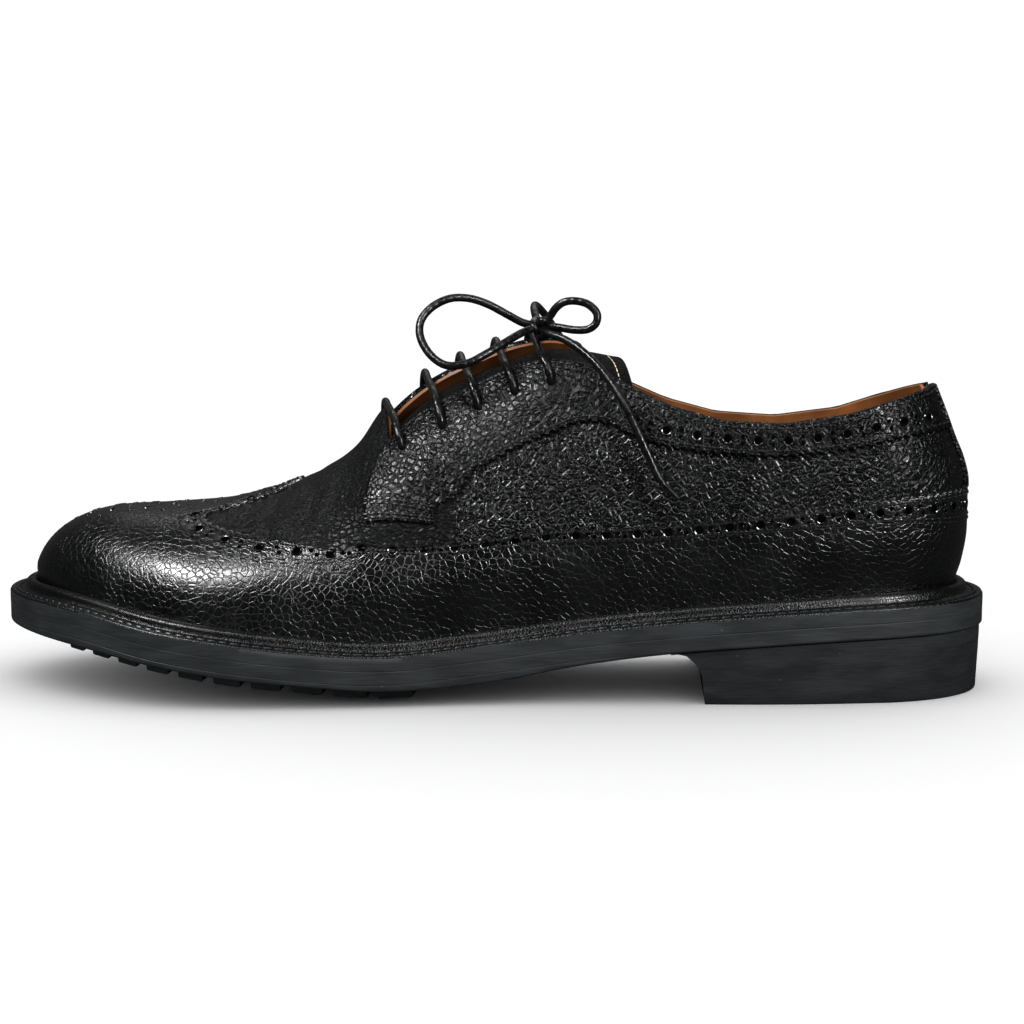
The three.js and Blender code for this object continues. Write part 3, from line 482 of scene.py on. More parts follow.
def catmull(points: np.ndarray, amounts: np.ndarray) -> np.ndarray:
    """A centripetal Catmull-Rom curve through points.

    Formula: knots grow by the fourth root of the squared distance; end points are reflected.

    Args:
        points: rows of coordinates.
        amounts: 0 at the first point to 1 at the last, the same share for each piece.

    Returns:
        Points of the curve.
    """
    p = np.vstack([2 * points[0] - points[1], points, 2 * points[-1] - points[-2]])
    t = np.clip(amounts, 0, 1) * (len(points) - 1)
    i = np.minimum(t.astype(int), len(points) - 2)
    w = (t - i)[:, None]
    p0, p1, p2, p3 = p[i], p[i + 1], p[i + 2], p[i + 3]
    d0, d1, d2 = (
        np.maximum(np.linalg.norm(b - a, axis=1, keepdims=True) ** 0.5, 1e-4)
        for a, b in ((p0, p1), (p1, p2), (p2, p3))
    )
    m1 = ((p1 - p0) / d0 - (p2 - p0) / (d0 + d1) + (p2 - p1) / d1) * d1
    m2 = ((p2 - p1) / d1 - (p3 - p1) / (d1 + d2) + (p3 - p2) / d2) * d1
    c2 = -3 * p1 + 3 * p2 - 2 * m1 - m2
    c3 = 2 * p1 - 2 * p2 + m1 + m2
    return p1 + m1 * w + c2 * w**2 + c3 * w**3


def to_pattern(station: np.ndarray, angle: np.ndarray) -> np.ndarray:
    """Pattern plane: the toe is the pole, the distance from it is 1 - station."""
    return np.stack([(1 - station) * np.cos(angle), (1 - station) * np.sin(angle)], axis=-1)


def from_pattern(p: np.ndarray) -> tuple[np.ndarray, np.ndarray]:
    """Station and angle of pattern points."""
    return 1 - np.hypot(p[..., 0], p[..., 1]), np.arctan2(p[..., 1], p[..., 0])


def even_amounts(curve: Callable[[np.ndarray], np.ndarray], step: float) -> np.ndarray:
    """Amounts along a seam at equal steps of its real length.

    Args:
        curve: pattern points of the seam for amounts from 0 to 1.
        step: length of a step in millimetres.

    Returns:
        Rising amounts from 0 to 1.
    """
    fine = np.linspace(0, 1, 3000)
    path = LAST.point(*from_pattern(curve(fine)))
    run = np.concatenate([[0], np.cumsum(np.linalg.norm(np.diff(path, axis=0), axis=1))])
    count = max(2, int(round(run[-1] / step)))
    return np.interp(np.linspace(0, run[-1], count + 1), run, fine)


@dataclass
class Patch:
    """A strip of leather between a seam and another line, both in the pattern plane.

    place(amount, level) gives station and angle, with level 0 on the seam and 1 on the other line.
    """

    place: Callable[[np.ndarray, np.ndarray], tuple[np.ndarray, np.ndarray]]
    seam: Callable[[np.ndarray], np.ndarray]

    def widths(self, amount: np.ndarray) -> np.ndarray:
        """Real distance from the seam to the other line at each amount."""
        levels = np.linspace(0, 1, 41)
        grid = LAST.point(*self.place(amount[:, None], levels[None, :]))
        return np.linalg.norm(np.diff(grid, axis=1), axis=2).sum(axis=1)

    def level_at(self, amount: np.ndarray, distance: np.ndarray) -> np.ndarray:
        """Level at real distances from the seam, one row for each amount."""
        levels = np.linspace(0, 1, 41)
        grid = LAST.point(*self.place(amount[:, None], levels[None, :]))
        run = np.concatenate(
            [np.zeros((len(amount), 1)), np.linalg.norm(np.diff(grid, axis=1), axis=2).cumsum(axis=1)],
            axis=1,
        )
        out = [np.interp(d, r, levels) for d, r in zip(np.atleast_2d(distance), run)]
        return np.array(out)

    def frames(self, amount: np.ndarray, distance: float, height: float) -> tuple[np.ndarray, np.ndarray]:
        """Centres and axes on the leather along a line at a distance from the seam.

        Args:
            amount: places along the seam.
            distance: distance from the seam.
            height: height over the form.

        Returns:
            Centres, and axes with the run of the line, the way across and the normal as rows.
        """
        def at(a: np.ndarray) -> tuple[np.ndarray, np.ndarray]:
            """Station and angle of the line at amounts."""
            level = self.level_at(a, np.full((len(a), 1), distance))
            s, g = self.place(a[:, None], level)
            return s[:, 0], g[:, 0]

        low, high = at(np.clip(amount - 0.0012, 0, 1)), at(np.clip(amount + 0.0012, 0, 1))
        mid = at(amount)
        run = unit(LAST.point(*high) - LAST.point(*low))
        n = LAST.normal(*mid)
        across = unit(np.cross(n, run))
        run = np.cross(across, n)
        return LAST.offset(*mid, np.full(len(amount), height)), np.stack([run, across, n], axis=1)


# Meshes


def grid_faces(rows: int, columns: int, first: int, flip: bool) -> np.ndarray:
    """Quads of a grid of vertices numbered row by row from first."""
    i, j = np.meshgrid(np.arange(rows - 1), np.arange(columns - 1), indexing="ij")
    a = first + i * columns + j
    quads = np.stack([a, a + 1, a + columns + 1, a + columns], axis=-1).reshape(-1, 4)
    return quads[:, ::-1] if flip else quads


def shell(outer: np.ndarray, inner: np.ndarray) -> tuple[np.ndarray, np.ndarray]:
    """A closed sheet between an outer and an inner grid of points.

    Args:
        outer: rows by columns by 3.
        inner: the same grid on the under side.

    Returns:
        Vertices and quads, with the four edges closed.
    """
    rows, columns = outer.shape[:2]
    count = rows * columns
    verts = np.concatenate([outer.reshape(-1, 3), inner.reshape(-1, 3)])
    ids = np.arange(count).reshape(rows, columns)
    around = np.concatenate([ids[0, :], ids[1:, -1], ids[-1, -2::-1], ids[-2:0:-1, 0]])
    nxt = np.roll(around, -1)
    rim = np.stack([around, around + count, nxt + count, nxt], axis=1)
    quads = np.concatenate([grid_faces(rows, columns, 0, False), grid_faces(rows, columns, count, True), rim])
    return verts, quads


def ring(loops: np.ndarray) -> tuple[np.ndarray, np.ndarray]:
    """A closed ring of closed profiles: loops by profile points by 3."""
    loops = np.concatenate([loops, loops[:1]])
    loops = np.concatenate([loops, loops[:, :1]], axis=1)
    return loops.reshape(-1, 3), grid_faces(loops.shape[0], loops.shape[1], 0, False)


def stamp(
    verts: np.ndarray, faces: np.ndarray, centres: np.ndarray, axes: np.ndarray
) -> tuple[np.ndarray, np.ndarray]:
    """Copies a small shape to many places.

    Args:
        verts: the shape's vertices in its own axes.
        faces: its quads.
        centres: one place for each copy.
        axes: three axes as rows for each copy.

    Returns:
        All vertices and all quads.
    """
    placed = np.einsum("vi,kij->kvj", verts, axes) + centres[:, None, :]
    shifts = np.arange(len(centres))[:, None, None] * len(verts)
    return placed.reshape(-1, 3), (faces[None] + shifts).reshape(-1, faces.shape[1])


def merged(parts: list[tuple[np.ndarray, np.ndarray]]) -> tuple[np.ndarray, np.ndarray]:
    """Joins vertex and face arrays into one pair."""
    verts, faces, first = [], [], 0
    for v, f in parts:
        verts.append(v)
        faces.append(f + first)
        first += len(v)
    return np.concatenate(verts), np.concatenate(faces)


def lathe_shape(profile: list[tuple[float, float]], sides: int) -> tuple[np.ndarray, np.ndarray]:
    """A round shape from radius and height pairs, closed on its axis at the last pair."""
    turns = np.linspace(0, 2 * np.pi, sides + 1)
    r, z = np.array(profile).T
    grid = np.stack(
        [r[:, None] * np.cos(turns), r[:, None] * np.sin(turns), np.repeat(z[:, None], sides + 1, 1)],
        axis=-1,
    )
    return grid.reshape(-1, 3), grid_faces(len(profile), sides + 1, 0, True)


def grain_shape(length: float, width: float, height: float) -> tuple[np.ndarray, np.ndarray]:
    """A long rounded grain, as a stitch lies: an ellipsoid of eight sides and six rings."""
    turn = np.linspace(0, 2 * np.pi, 7)
    run = np.linspace(-np.pi / 2, np.pi / 2, 6)
    x = np.repeat(np.sin(run)[:, None] * length / 2, 7, 1)
    y = np.cos(run)[:, None] ** 0.6 * np.cos(turn) * width / 2
    z = np.cos(run)[:, None] ** 0.6 * np.sin(turn) * height / 2
    return np.stack([x, y, z], axis=-1).reshape(-1, 3), grid_faces(6, 7, 0, False)


@dataclass
class Maker:
    """Puts worked-out surfaces into Blender as pieces on the shoe's body."""

    count: int = 0

    def piece(
        self,
        name: str,
        mesh_data: tuple[np.ndarray, np.ndarray],
        material: bpy.types.Material,
        nodes: tuple[str, ...] = (),
        sharp: float = 50.0,
        uv: np.ndarray | None = None,
    ) -> bpy.types.Object:
        """Makes one piece from vertices and faces in millimetres.

        Args:
            name: the piece's name.
            mesh_data: vertices and faces.
            material: its finish.
            nodes: solids that it stands for.
            sharp: the angle past which an edge is shaded sharp, in degrees.
            uv: the place of each vertex on the pattern, or none.

        Returns:
            The new object.
        """
        verts, faces = mesh_data
        placed = (verts + np.array([0, MIDDLE_SHIFT, 0])) * MM
        mesh = bpy.data.meshes.new(name)
        mesh.from_pydata(placed.tolist(), [], faces.tolist())
        if uv is not None:
            layer = mesh.uv_layers.new(name="pattern")
            loops = np.zeros(len(mesh.loops), np.int32)
            mesh.loops.foreach_get("vertex_index", loops)
            layer.data.foreach_set("uv", uv[loops].astype(np.float32).ravel())
        work = bmesh.new()
        work.from_mesh(mesh)
        bmesh.ops.remove_doubles(work, verts=work.verts, dist=2e-6)
        bmesh.ops.dissolve_degenerate(work, edges=work.edges, dist=1e-7)
        bmesh.ops.recalc_face_normals(work, faces=work.faces)
        work.to_mesh(mesh)
        work.free()
        mesh.shade_smooth()
        mesh.set_sharp_from_angle(angle=math.radians(sharp))
        mesh.materials.append(material)
        obj = bpy.data.objects.new(name, mesh)
        bpy.context.scene.collection.objects.link(obj)
        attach(obj, BODY)
        if nodes:
            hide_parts(*nodes)
        self.count += 1
        LOG.info("piece %s: %d faces", name, len(mesh.polygons))
        return obj


# Finishes


@dataclass(frozen=True)
class Leather:
    """Embossed leather: raised cells of grain between valleys of painted shade, with pores and wrinkles."""

    name: str
    colour: tuple[float, float, float]
    cell: float
    depth: float
    roughness: float
    gloss: float = 0.5
    dome: float = 0.14
    wrinkle: float = 0.0
    pores: float = 0.08
    stretch: tuple[float, float, float] = (1.0, 1.0, 1.0)

    def build(self) -> bpy.types.Material:
        """Makes the material.

        Formula: the height rises from each cell's border over the dome's width, and less for a
        finer cell, for wrinkles and for pores; the valleys are rougher and carry painted shade.

        Returns:
            The material.
        """
        kit = Nodes(self.name)
        place = kit.object_place(self.stretch)
        bent = kit.mix_vector(place, kit.noise(place, 420.0, 2.0), 0.00035)
        cells = kit.voronoi(bent, 1.0 / self.cell, "DISTANCE_TO_EDGE")
        small = kit.voronoi(bent, 2.6 / self.cell, "DISTANCE_TO_EDGE")
        top = kit.ramp(cells, [(0.0, 0.0), (self.dome, 1.0)])
        low = kit.ramp(small, [(0.0, 0.0), (0.1, 1.0)])
        pores = kit.noise(place, 2300.0, 2.0)
        waves = kit.noise(kit.object_place((1.0, 1.0, 1.6)), 150.0, 3.0)
        patch = kit.ramp(kit.noise(place, 34.0, 2.0), [(0.35, 0.6), (0.6, 1.0)])
        fall = kit.math("SUBTRACT", 1.0, top)
        rounded = kit.math("SUBTRACT", 1.0, kit.math("MULTIPLY", fall, fall))
        height = kit.math("MULTIPLY", rounded, patch)
        for value, weight in ((low, 0.16), (pores, self.pores), (waves, self.wrinkle)):
            height = kit.math("ADD", height, kit.math("MULTIPLY", value, weight))
        normal = kit.bump(height, self.depth * MM, 1.0)
        # Painted shade: the colour falls to 0.45 of the base in the grain's valleys.
        valley_shade = kit.ramp(top, [(0.0, 0.45), (0.8, 1.0)])
        worn = kit.noise(place, 55.0, 4.0)
        # The colour's multiplier is the valleys' painted shade times a random worn tone.
        shade = kit.math("MULTIPLY", valley_shade, kit.ramp(worn, [(0.3, 0.8), (0.75, 1.25)]))
        rough = kit.math(
            "ADD",
            kit.ramp(worn, [(0.3, self.roughness - 0.04), (0.7, self.roughness + 0.06)]),
            kit.ramp(top, [(0.0, 0.12), (0.6, 0.0)]),
        )
        return kit.shader(kit.tint(self.colour, shade), rough, normal, {"Specular IOR Level": self.gloss})


@dataclass(frozen=True)
class Lining:
    """Smooth tan lining leather with a soft mottle and fine pores."""

    name: str = "tan_lining"
    colour: tuple[float, float, float] = (0.19, 0.074, 0.022)

    def build(self) -> bpy.types.Material:
        """Makes the material."""
        kit = Nodes(self.name)
        place = kit.object_place()
        mottle = kit.noise(place, 90.0, 5.0)
        pores = kit.noise(place, 2600.0, 2.0)
        shade = kit.ramp(mottle, [(0.25, 0.62), (0.75, 1.25)])
        colour = kit.tint(self.colour, shade)
        rough = kit.ramp(mottle, [(0.3, 0.42), (0.7, 0.6)])
        return kit.shader(colour, rough, kit.bump(pores, 0.05 * MM, 0.6), {})


@dataclass(frozen=True)
class Rubber:
    """Moulded rubber with fine streaks along the shoe, specks and scuffs."""

    name: str
    colour: tuple[float, float, float]
    roughness: float

    def build(self) -> bpy.types.Material:
        """Makes the material."""
        kit = Nodes(self.name)
        place = kit.object_place((0.05, 0.05, 1.0))
        streak = kit.noise(place, 2600.0, 3.0)
        broad = kit.noise(kit.object_place((0.25, 0.25, 1.0)), 240.0, 3.0)
        grit = kit.noise(kit.object_place(), 3200.0, 2.0)
        height = kit.math("ADD", kit.math("MULTIPLY", streak, 0.7), kit.math("MULTIPLY", grit, 0.5))
        shade = kit.math(
            "MULTIPLY",
            kit.ramp(streak, [(0.3, 0.82), (0.7, 1.2)]),
            kit.ramp(broad, [(0.3, 0.86), (0.7, 1.15)]),
        )
        speck = kit.voronoi(kit.object_place(), 190.0, "F1")
        light = kit.ramp(speck, [(0.0, 3.2), (0.09, 1.0)])
        colour = kit.tint(self.colour, kit.math("MULTIPLY", shade, light))
        rough = kit.ramp(broad, [(0.3, self.roughness - 0.08), (0.7, self.roughness + 0.08)])
        return kit.shader(colour, rough, kit.bump(height, 0.06 * MM, 1.0), {})


@dataclass(frozen=True)
class Thread:
    """Twisted or braided cord: slanting strands over its own pattern."""

    name: str
    colour: tuple[float, float, float]
    roughness: float
    strands: float
    depth: float
    braided: bool = False
    gloss: float = 0.5

    def build(self) -> bpy.types.Material:
        """Makes the material from the piece's pattern coordinates, or from its place."""
        kit = Nodes(self.name)
        if not self.braided:
            grit = kit.noise(kit.object_place(), 1500.0, 2.0)
            colour = kit.tint(self.colour, kit.ramp(grit, [(0.3, 0.7), (0.7, 1.3)]))
            normal = kit.bump(grit, self.depth * MM, 1.0)
            return kit.shader(colour, self.roughness, normal, {"Specular IOR Level": self.gloss})
        along, around = kit.pattern()
        first = kit.wave(kit.math("ADD", kit.math("MULTIPLY", along, self.strands), around))
        second = kit.wave(kit.math("SUBTRACT", kit.math("MULTIPLY", along, self.strands), around))
        weave = kit.math("MAXIMUM", first, second)
        wax = kit.noise(kit.object_place(), 380.0, 3.0)
        # Painted shade: darker in the grooves between the strands and a little lighter on their crests, times a random
        # wax tone.
        shade = kit.math(
            "MULTIPLY", kit.ramp(weave, [(0.2, 0.6), (1.0, 1.15)]), kit.ramp(wax, [(0.3, 0.8), (0.7, 1.3)])
        )
        rough = kit.ramp(wax, [(0.3, self.roughness - 0.08), (0.7, self.roughness + 0.12)])
        return kit.shader(kit.tint(self.colour, shade), rough, kit.bump(weave, self.depth * MM, 1.0), {})


class Nodes:
    """Builds a material's node tree with short calls."""

    def __init__(self, name: str) -> None:
        """Starts an empty material with a Principled shader."""
        self.material = bpy.data.materials.new(name)
        self.material.use_nodes = True
        self.tree = self.material.node_tree
        self.tree.nodes.clear()

    def node(self, kind: str, **settings: object) -> bpy.types.Node:
        """A new node with its settings."""
        made = self.tree.nodes.new(kind)
        for key, value in settings.items():
            setattr(made, key, value)
        return made

    def link(self, source: bpy.types.NodeSocket, target: bpy.types.NodeSocket) -> None:
        """Joins two sockets."""
        self.tree.links.new(source, target)

    def feed(self, socket: bpy.types.NodeSocket, value: object) -> None:
        """Sets a socket to a number or joins it to another socket."""
        if isinstance(value, bpy.types.NodeSocket):
            self.link(value, socket)
        else:
            socket.default_value = value

    def object_place(self, stretch: tuple[float, float, float] = (1.0, 1.0, 1.0)) -> bpy.types.NodeSocket:
        """Object coordinates, scaled along each axis."""
        place = self.node("ShaderNodeTexCoord").outputs["Object"]
        if stretch == (1.0, 1.0, 1.0):
            return place
        mapping = self.node("ShaderNodeMapping")
        self.link(place, mapping.inputs["Vector"])
        mapping.inputs["Scale"].default_value = stretch
        return mapping.outputs["Vector"]

    def pattern(self) -> tuple[bpy.types.NodeSocket, bpy.types.NodeSocket]:
        """The piece's own pattern coordinates: along and around."""
        split = self.node("ShaderNodeSeparateXYZ")
        self.link(self.node("ShaderNodeUVMap", uv_map="pattern").outputs["UV"], split.inputs[0])
        return split.outputs["X"], split.outputs["Y"]

    def noise(self, place: bpy.types.NodeSocket, scale: float, detail: float) -> bpy.types.NodeSocket:
        """Noise from 0 to 1."""
        made = self.node("ShaderNodeTexNoise")
        self.link(place, made.inputs["Vector"])
        made.inputs["Scale"].default_value = scale
        made.inputs["Detail"].default_value = detail
        return made.outputs["Fac"]

    def voronoi(self, place: bpy.types.NodeSocket, scale: float, feature: str) -> bpy.types.NodeSocket:
        """Distance in a cell pattern, scale cells to a millimetre times a thousand."""
        made = self.node("ShaderNodeTexVoronoi", feature=feature)
        self.link(place, made.inputs["Vector"])
        made.inputs["Scale"].default_value = scale * (1000.0 if scale < 10 else 1.0)
        return made.outputs["Distance"]

    def mix_vector(
        self, place: bpy.types.NodeSocket, amount: bpy.types.NodeSocket, reach: float
    ) -> bpy.types.NodeSocket:
        """Shifts a place by a noise value times a reach in metres."""
        scaled = self.math("MULTIPLY", self.math("SUBTRACT", amount, 0.5), 2 * reach)
        add = self.node("ShaderNodeVectorMath", operation="ADD")
        self.link(place, add.inputs[0])
        self.link(scaled, add.inputs[1])
        return add.outputs[0]

    def ramp(
        self, value: bpy.types.NodeSocket, stops: list[tuple[float, float]]
    ) -> bpy.types.NodeSocket:
        """A curve through a few pairs of value and result."""
        made = self.node("ShaderNodeMapRange", interpolation_type="SMOOTHSTEP", clamp=True)
        if len(stops) == 2:
            (a, x), (b, y) = stops
            self.link(value, made.inputs["Value"])
            for key, number in (("From Min", a), ("From Max", b), ("To Min", x), ("To Max", y)):
                made.inputs[key].default_value = number
            return made.outputs["Result"]
        self.tree.nodes.remove(made)
        low = self.ramp(value, stops[:2])
        shifted = [(stops[1][0], 0.0), (stops[2][0], stops[2][1] - stops[1][1])]
        return self.math("ADD", low, self.ramp(value, shifted))

    def math(self, operation: str, a: object, b: object) -> bpy.types.NodeSocket:
        """One operation on two numbers or sockets."""
        made = self.node("ShaderNodeMath", operation=operation)
        self.feed(made.inputs[0], a)
        self.feed(made.inputs[1], b)
        return made.outputs[0]

    def wave(self, phase: bpy.types.NodeSocket) -> bpy.types.NodeSocket:
        """A wave from 0 to 1 over each whole number of the phase."""
        turned = self.math("MULTIPLY", phase, 2 * math.pi)
        made = self.node("ShaderNodeMath", operation="SINE")
        self.link(turned, made.inputs[0])
        return self.math("ADD", self.math("MULTIPLY", made.outputs[0], 0.5), 0.5)

    def bump(self, height: bpy.types.NodeSocket, distance: float, strength: float) -> bpy.types.NodeSocket:
        """A bump normal."""
        made = self.node("ShaderNodeBump")
        made.inputs["Strength"].default_value = strength
        made.inputs["Distance"].default_value = distance
        self.link(height, made.inputs["Height"])
        return made.outputs["Normal"]

    def tint(self, colour: tuple[float, float, float], shade: bpy.types.NodeSocket) -> bpy.types.NodeSocket:
        """A colour made lighter or darker by a shade."""
        made = self.node("ShaderNodeVectorMath", operation="SCALE")
        made.inputs[0].default_value = colour
        self.link(shade, made.inputs["Scale"])
        return made.outputs[0]

    def shader(
        self, colour: object, roughness: object, normal: object, plain: dict[str, float]
    ) -> bpy.types.Material:
        """Ends the tree with a Principled shader.

        Args:
            colour: socket or colour of the base.
            roughness: socket or number.
            normal: socket of the bump.
            plain: other inputs by name.

        Returns:
            The finished material.
        """
        made = self.node("ShaderNodeBsdfPrincipled")
        self.feed(made.inputs["Base Color"], colour)
        self.feed(made.inputs["Roughness"], roughness)
        self.feed(made.inputs["Normal"], normal)
        for key, value in plain.items():
            made.inputs[key].default_value = value
        end = self.node("ShaderNodeOutputMaterial")
        self.link(made.outputs["BSDF"], end.inputs["Surface"])
        return self.material


@dataclass
class Finishes:
    """Every finish of the shoe, made once."""

    wing: bpy.types.Material
    quarter: bpy.types.Material
    vamp: bpy.types.Material
    facing: bpy.types.Material
    tongue: bpy.types.Material
    lips: bpy.types.Material
    welt: bpy.types.Material
    lining: bpy.types.Material
    sole: bpy.types.Material
    heel: bpy.types.Material
    lace: bpy.types.Material
    thread: bpy.types.Material
    pale_thread: bpy.types.Material
    hole: bpy.types.Material

    @classmethod
    def make(cls) -> "Finishes":
        """Builds the finishes."""
        black = (0.0022, 0.0025, 0.0028)
        return cls(
            wing=Leather("wing_leather", black, 2.1, 0.08, 0.22, 0.85, 0.16, pores=0.1).build(),
            quarter=Leather("quarter_leather", black, 2.1, 0.24, 0.16, 0.4, 0.32).build(),
            vamp=Leather(
                "vamp_leather", (0.0035, 0.0039, 0.0041), 1.5, 0.26, 0.3, 0.24, 0.26, stretch=(0.6, 1, 1)
            ).build(),
            facing=Leather("facing_leather", black, 2.0, 0.2, 0.18, 0.3, 0.3, 1.1, 0.12).build(),
            tongue=Leather("tongue_leather", (0.0035, 0.0039, 0.0041), 1.2, 0.3, 0.4, 0.12, 0.2, 0.8).build(),
            lips=Leather("punched_lips", black, 0.8, 0.02, 0.12, 0.95, 0.2).build(),
            welt=Leather("welt_leather", black, 0.9, 0.04, 0.24, 0.5, 0.2).build(),
            lining=Lining().build(),
            sole=Rubber("sole_rubber", (0.0155, 0.0185, 0.0205), 0.56).build(),
            heel=Rubber("heel_rubber", (0.011, 0.013, 0.0142), 0.52).build(),
            lace=Thread("waxed_lace", (0.0035, 0.0038, 0.004), 0.3, 1.0, 0.06, True).build(),
            thread=Thread("waxed_thread", (0.005, 0.0054, 0.0057), 0.38, 1.0, 0.04).build(),
            pale_thread=Thread("pale_thread", (0.42, 0.36, 0.26), 0.6, 1.0, 0.05).build(),
            # The hole finish is painted shade: darker than the leather and without gloss, for the discs in the punched
            # holes.
            hole=Thread("punched_hole_shade", (0.0012, 0.0012, 0.0012), 0.9, 1.0, 0.02, gloss=0.0).build(),
        )


# Pieces


@dataclass
class Trim:
    """Stitches and punched holes that follow the seams."""

    stitch: tuple[float, float, float] = (2.2, 0.75, 0.7)
    stitch_pitch: float = 2.75
    rim_radius: float = 1.85
    hole_radius: float = 1.15
    small_rim: float = 0.82
    small_hole: float = 0.5

    def stitches(self, patch: Patch, distance: float, height: float, low: float = 0, high: float = 1) -> tuple:
        """A row of stitches at a distance from a patch's seam.

        Args:
            patch: the strip that carries them.
            distance: distance from the seam.
            height: height over the form.
            low: first amount along the seam.
            high: last amount along the seam.

        Returns:
            Vertices and faces.
        """
        amounts = even_amounts(patch.seam, self.stitch_pitch)
        amounts = amounts[(amounts >= low) & (amounts <= high)]
        centres, axes = patch.frames(amounts, distance, height)
        return stamp(*grain_shape(*self.stitch), centres, axes)

    def rim(self, outer: float, inner: float, height: float) -> tuple[np.ndarray, np.ndarray]:
        """A raised round lip, from its outer foot over its crest to its inner foot."""
        middle = (outer + inner) / 2
        profile = [(outer, -0.12), (outer - 0.12, 0.05), (middle, height), (inner + 0.05, height * 0.7), (inner, -0.1)]
        turns = np.linspace(0, 2 * np.pi, 17)
        r, z = np.array(profile).T
        grid = np.stack(
            [r[:, None] * np.cos(turns), r[:, None] * np.sin(turns), np.repeat(z[:, None], 17, 1)], axis=-1
        )
        return grid.reshape(-1, 3), grid_faces(len(profile), 17, 0, True)

    def shade_disc(self, radius: float) -> tuple[np.ndarray, np.ndarray]:
        """A dark matte disc laid in a punched hole, painting the shade inside it."""
        return lathe_shape([(radius, 0.0), (radius * 0.5, -0.01), (0.0, -0.02)], 14)


@dataclass
class Upper:
    """The vamp and quarters with their lining, open at the collar and the throat."""

    wall: float = 2.2
    stations: int = 300
    rows: int = 60

    def rims(self, station: np.ndarray, side: Side) -> np.ndarray:
        """Angle of the open edge over the stations of one side, 90 degrees on the vamp."""
        rows = FACING_LATERAL if side is Side.LATERAL else FACING_MEDIAL
        share = np.concatenate([[0.0], column(rows, 0)[:3:-1], [rows[3][0]], [rows[3][0] + 0.012]])
        angle = np.concatenate([[52.4], column(rows, 1)[:3:-1], [rows[3][1]], [90.0]])
        wanted = (1 - np.cos(np.pi * station)) / 2
        return np.radians(np.interp(wanted, share, angle))

    def creases(self, points: np.ndarray) -> np.ndarray:
        """Depth of the walking creases over the vamp.

        Formula: the sum of narrow bell curves along the shoe, each bent with the height and
        fading toward the feather line.

        Args:
            points: points of the form.

        Returns:
            Height change in millimetres.
        """
        x, y, z = points[..., 0], points[..., 1], points[..., 2]
        depth = np.zeros(x.shape)
        for middle, lean, wide, deep in (
            (-58.0, 0.20, 2.6, 0.5),
            (-66.5, -0.12, 2.2, 0.35),
            (-49.0, 0.3, 2.4, 0.4),
            (-74.0, 0.1, 3.0, 0.22),
        ):
            line = middle + lean * (z - 50) + 1.8 * np.sin(y * 0.16 + middle)
            depth -= deep * np.exp(-(((x - line) / wide) ** 2))
        return depth * smoothstep(z, 32, 46) * (1 - smoothstep(z, 64, 72))

    def side_grid(self, side: Side, height: float) -> np.ndarray:
        """Points of one side at a height over the form, from the feather line to the edge."""
        station = np.linspace(0, 1, self.stations)
        edge = self.rims(station, side)
        level = np.linspace(0, 1, self.rows)
        angle = edge[:, None] * level[None, :]
        if side is Side.MEDIAL:
            angle = np.pi - angle
        station = np.repeat(station[:, None], self.rows, 1)
        points = LAST.offset(station, angle, np.full(angle.shape, height))
        if height > -1:
            points = points + LAST.normal(station, angle) * self.creases(points)[..., None]
        return points

    def build(self, maker: Maker, looks: Finishes) -> None:
        """Makes the outer leather and the lining of both sides."""
        layers = {
            "quarter_leather": (0.0, -1.1, looks.quarter),
            "quarter_lining": (-1.12, -self.wall, looks.lining),
        }
        for name, (high, low, finish) in layers.items():
            for side in Side:
                outer, inner = self.side_grid(side, high), self.side_grid(side, low)
                cut = int(self.stations * 0.0)
                data = shell(outer[cut:], inner[cut:])
                maker.piece(f"{name}_{side.name.lower()}", data, finish, ("upper",))


@dataclass
class VampSkin:
    """The finer grained vamp in front of the facings, a thin skin over the upper."""

    thickness: float = 0.18

    def build(self, maker: Maker, looks: Finishes, upper: Upper) -> None:
        """Makes the skin over shares from the facings to the toe, above the feather line."""
        station = station_of(np.linspace(0.53, 0.86, 170))
        parts = []
        for side in Side:
            edge = upper.rims(station, side)
            angle = edge[:, None] * np.linspace(0.2, 1, 60)[None, :]
            if side is Side.MEDIAL:
                angle = np.pi - angle
            s = np.repeat(station[:, None], 60, 1)
            base = LAST.point(s, angle)
            n = LAST.normal(s, angle)
            lift = upper.creases(base)
            outer = base + n * (lift + self.thickness)[..., None]
            inner = base + n * (lift - 0.3)[..., None]
            parts.append(shell(outer, inner))
        for side, data in zip(Side, parts):
            maker.piece(f"vamp_{side.name.lower()}", data, looks.vamp, ("upper",))


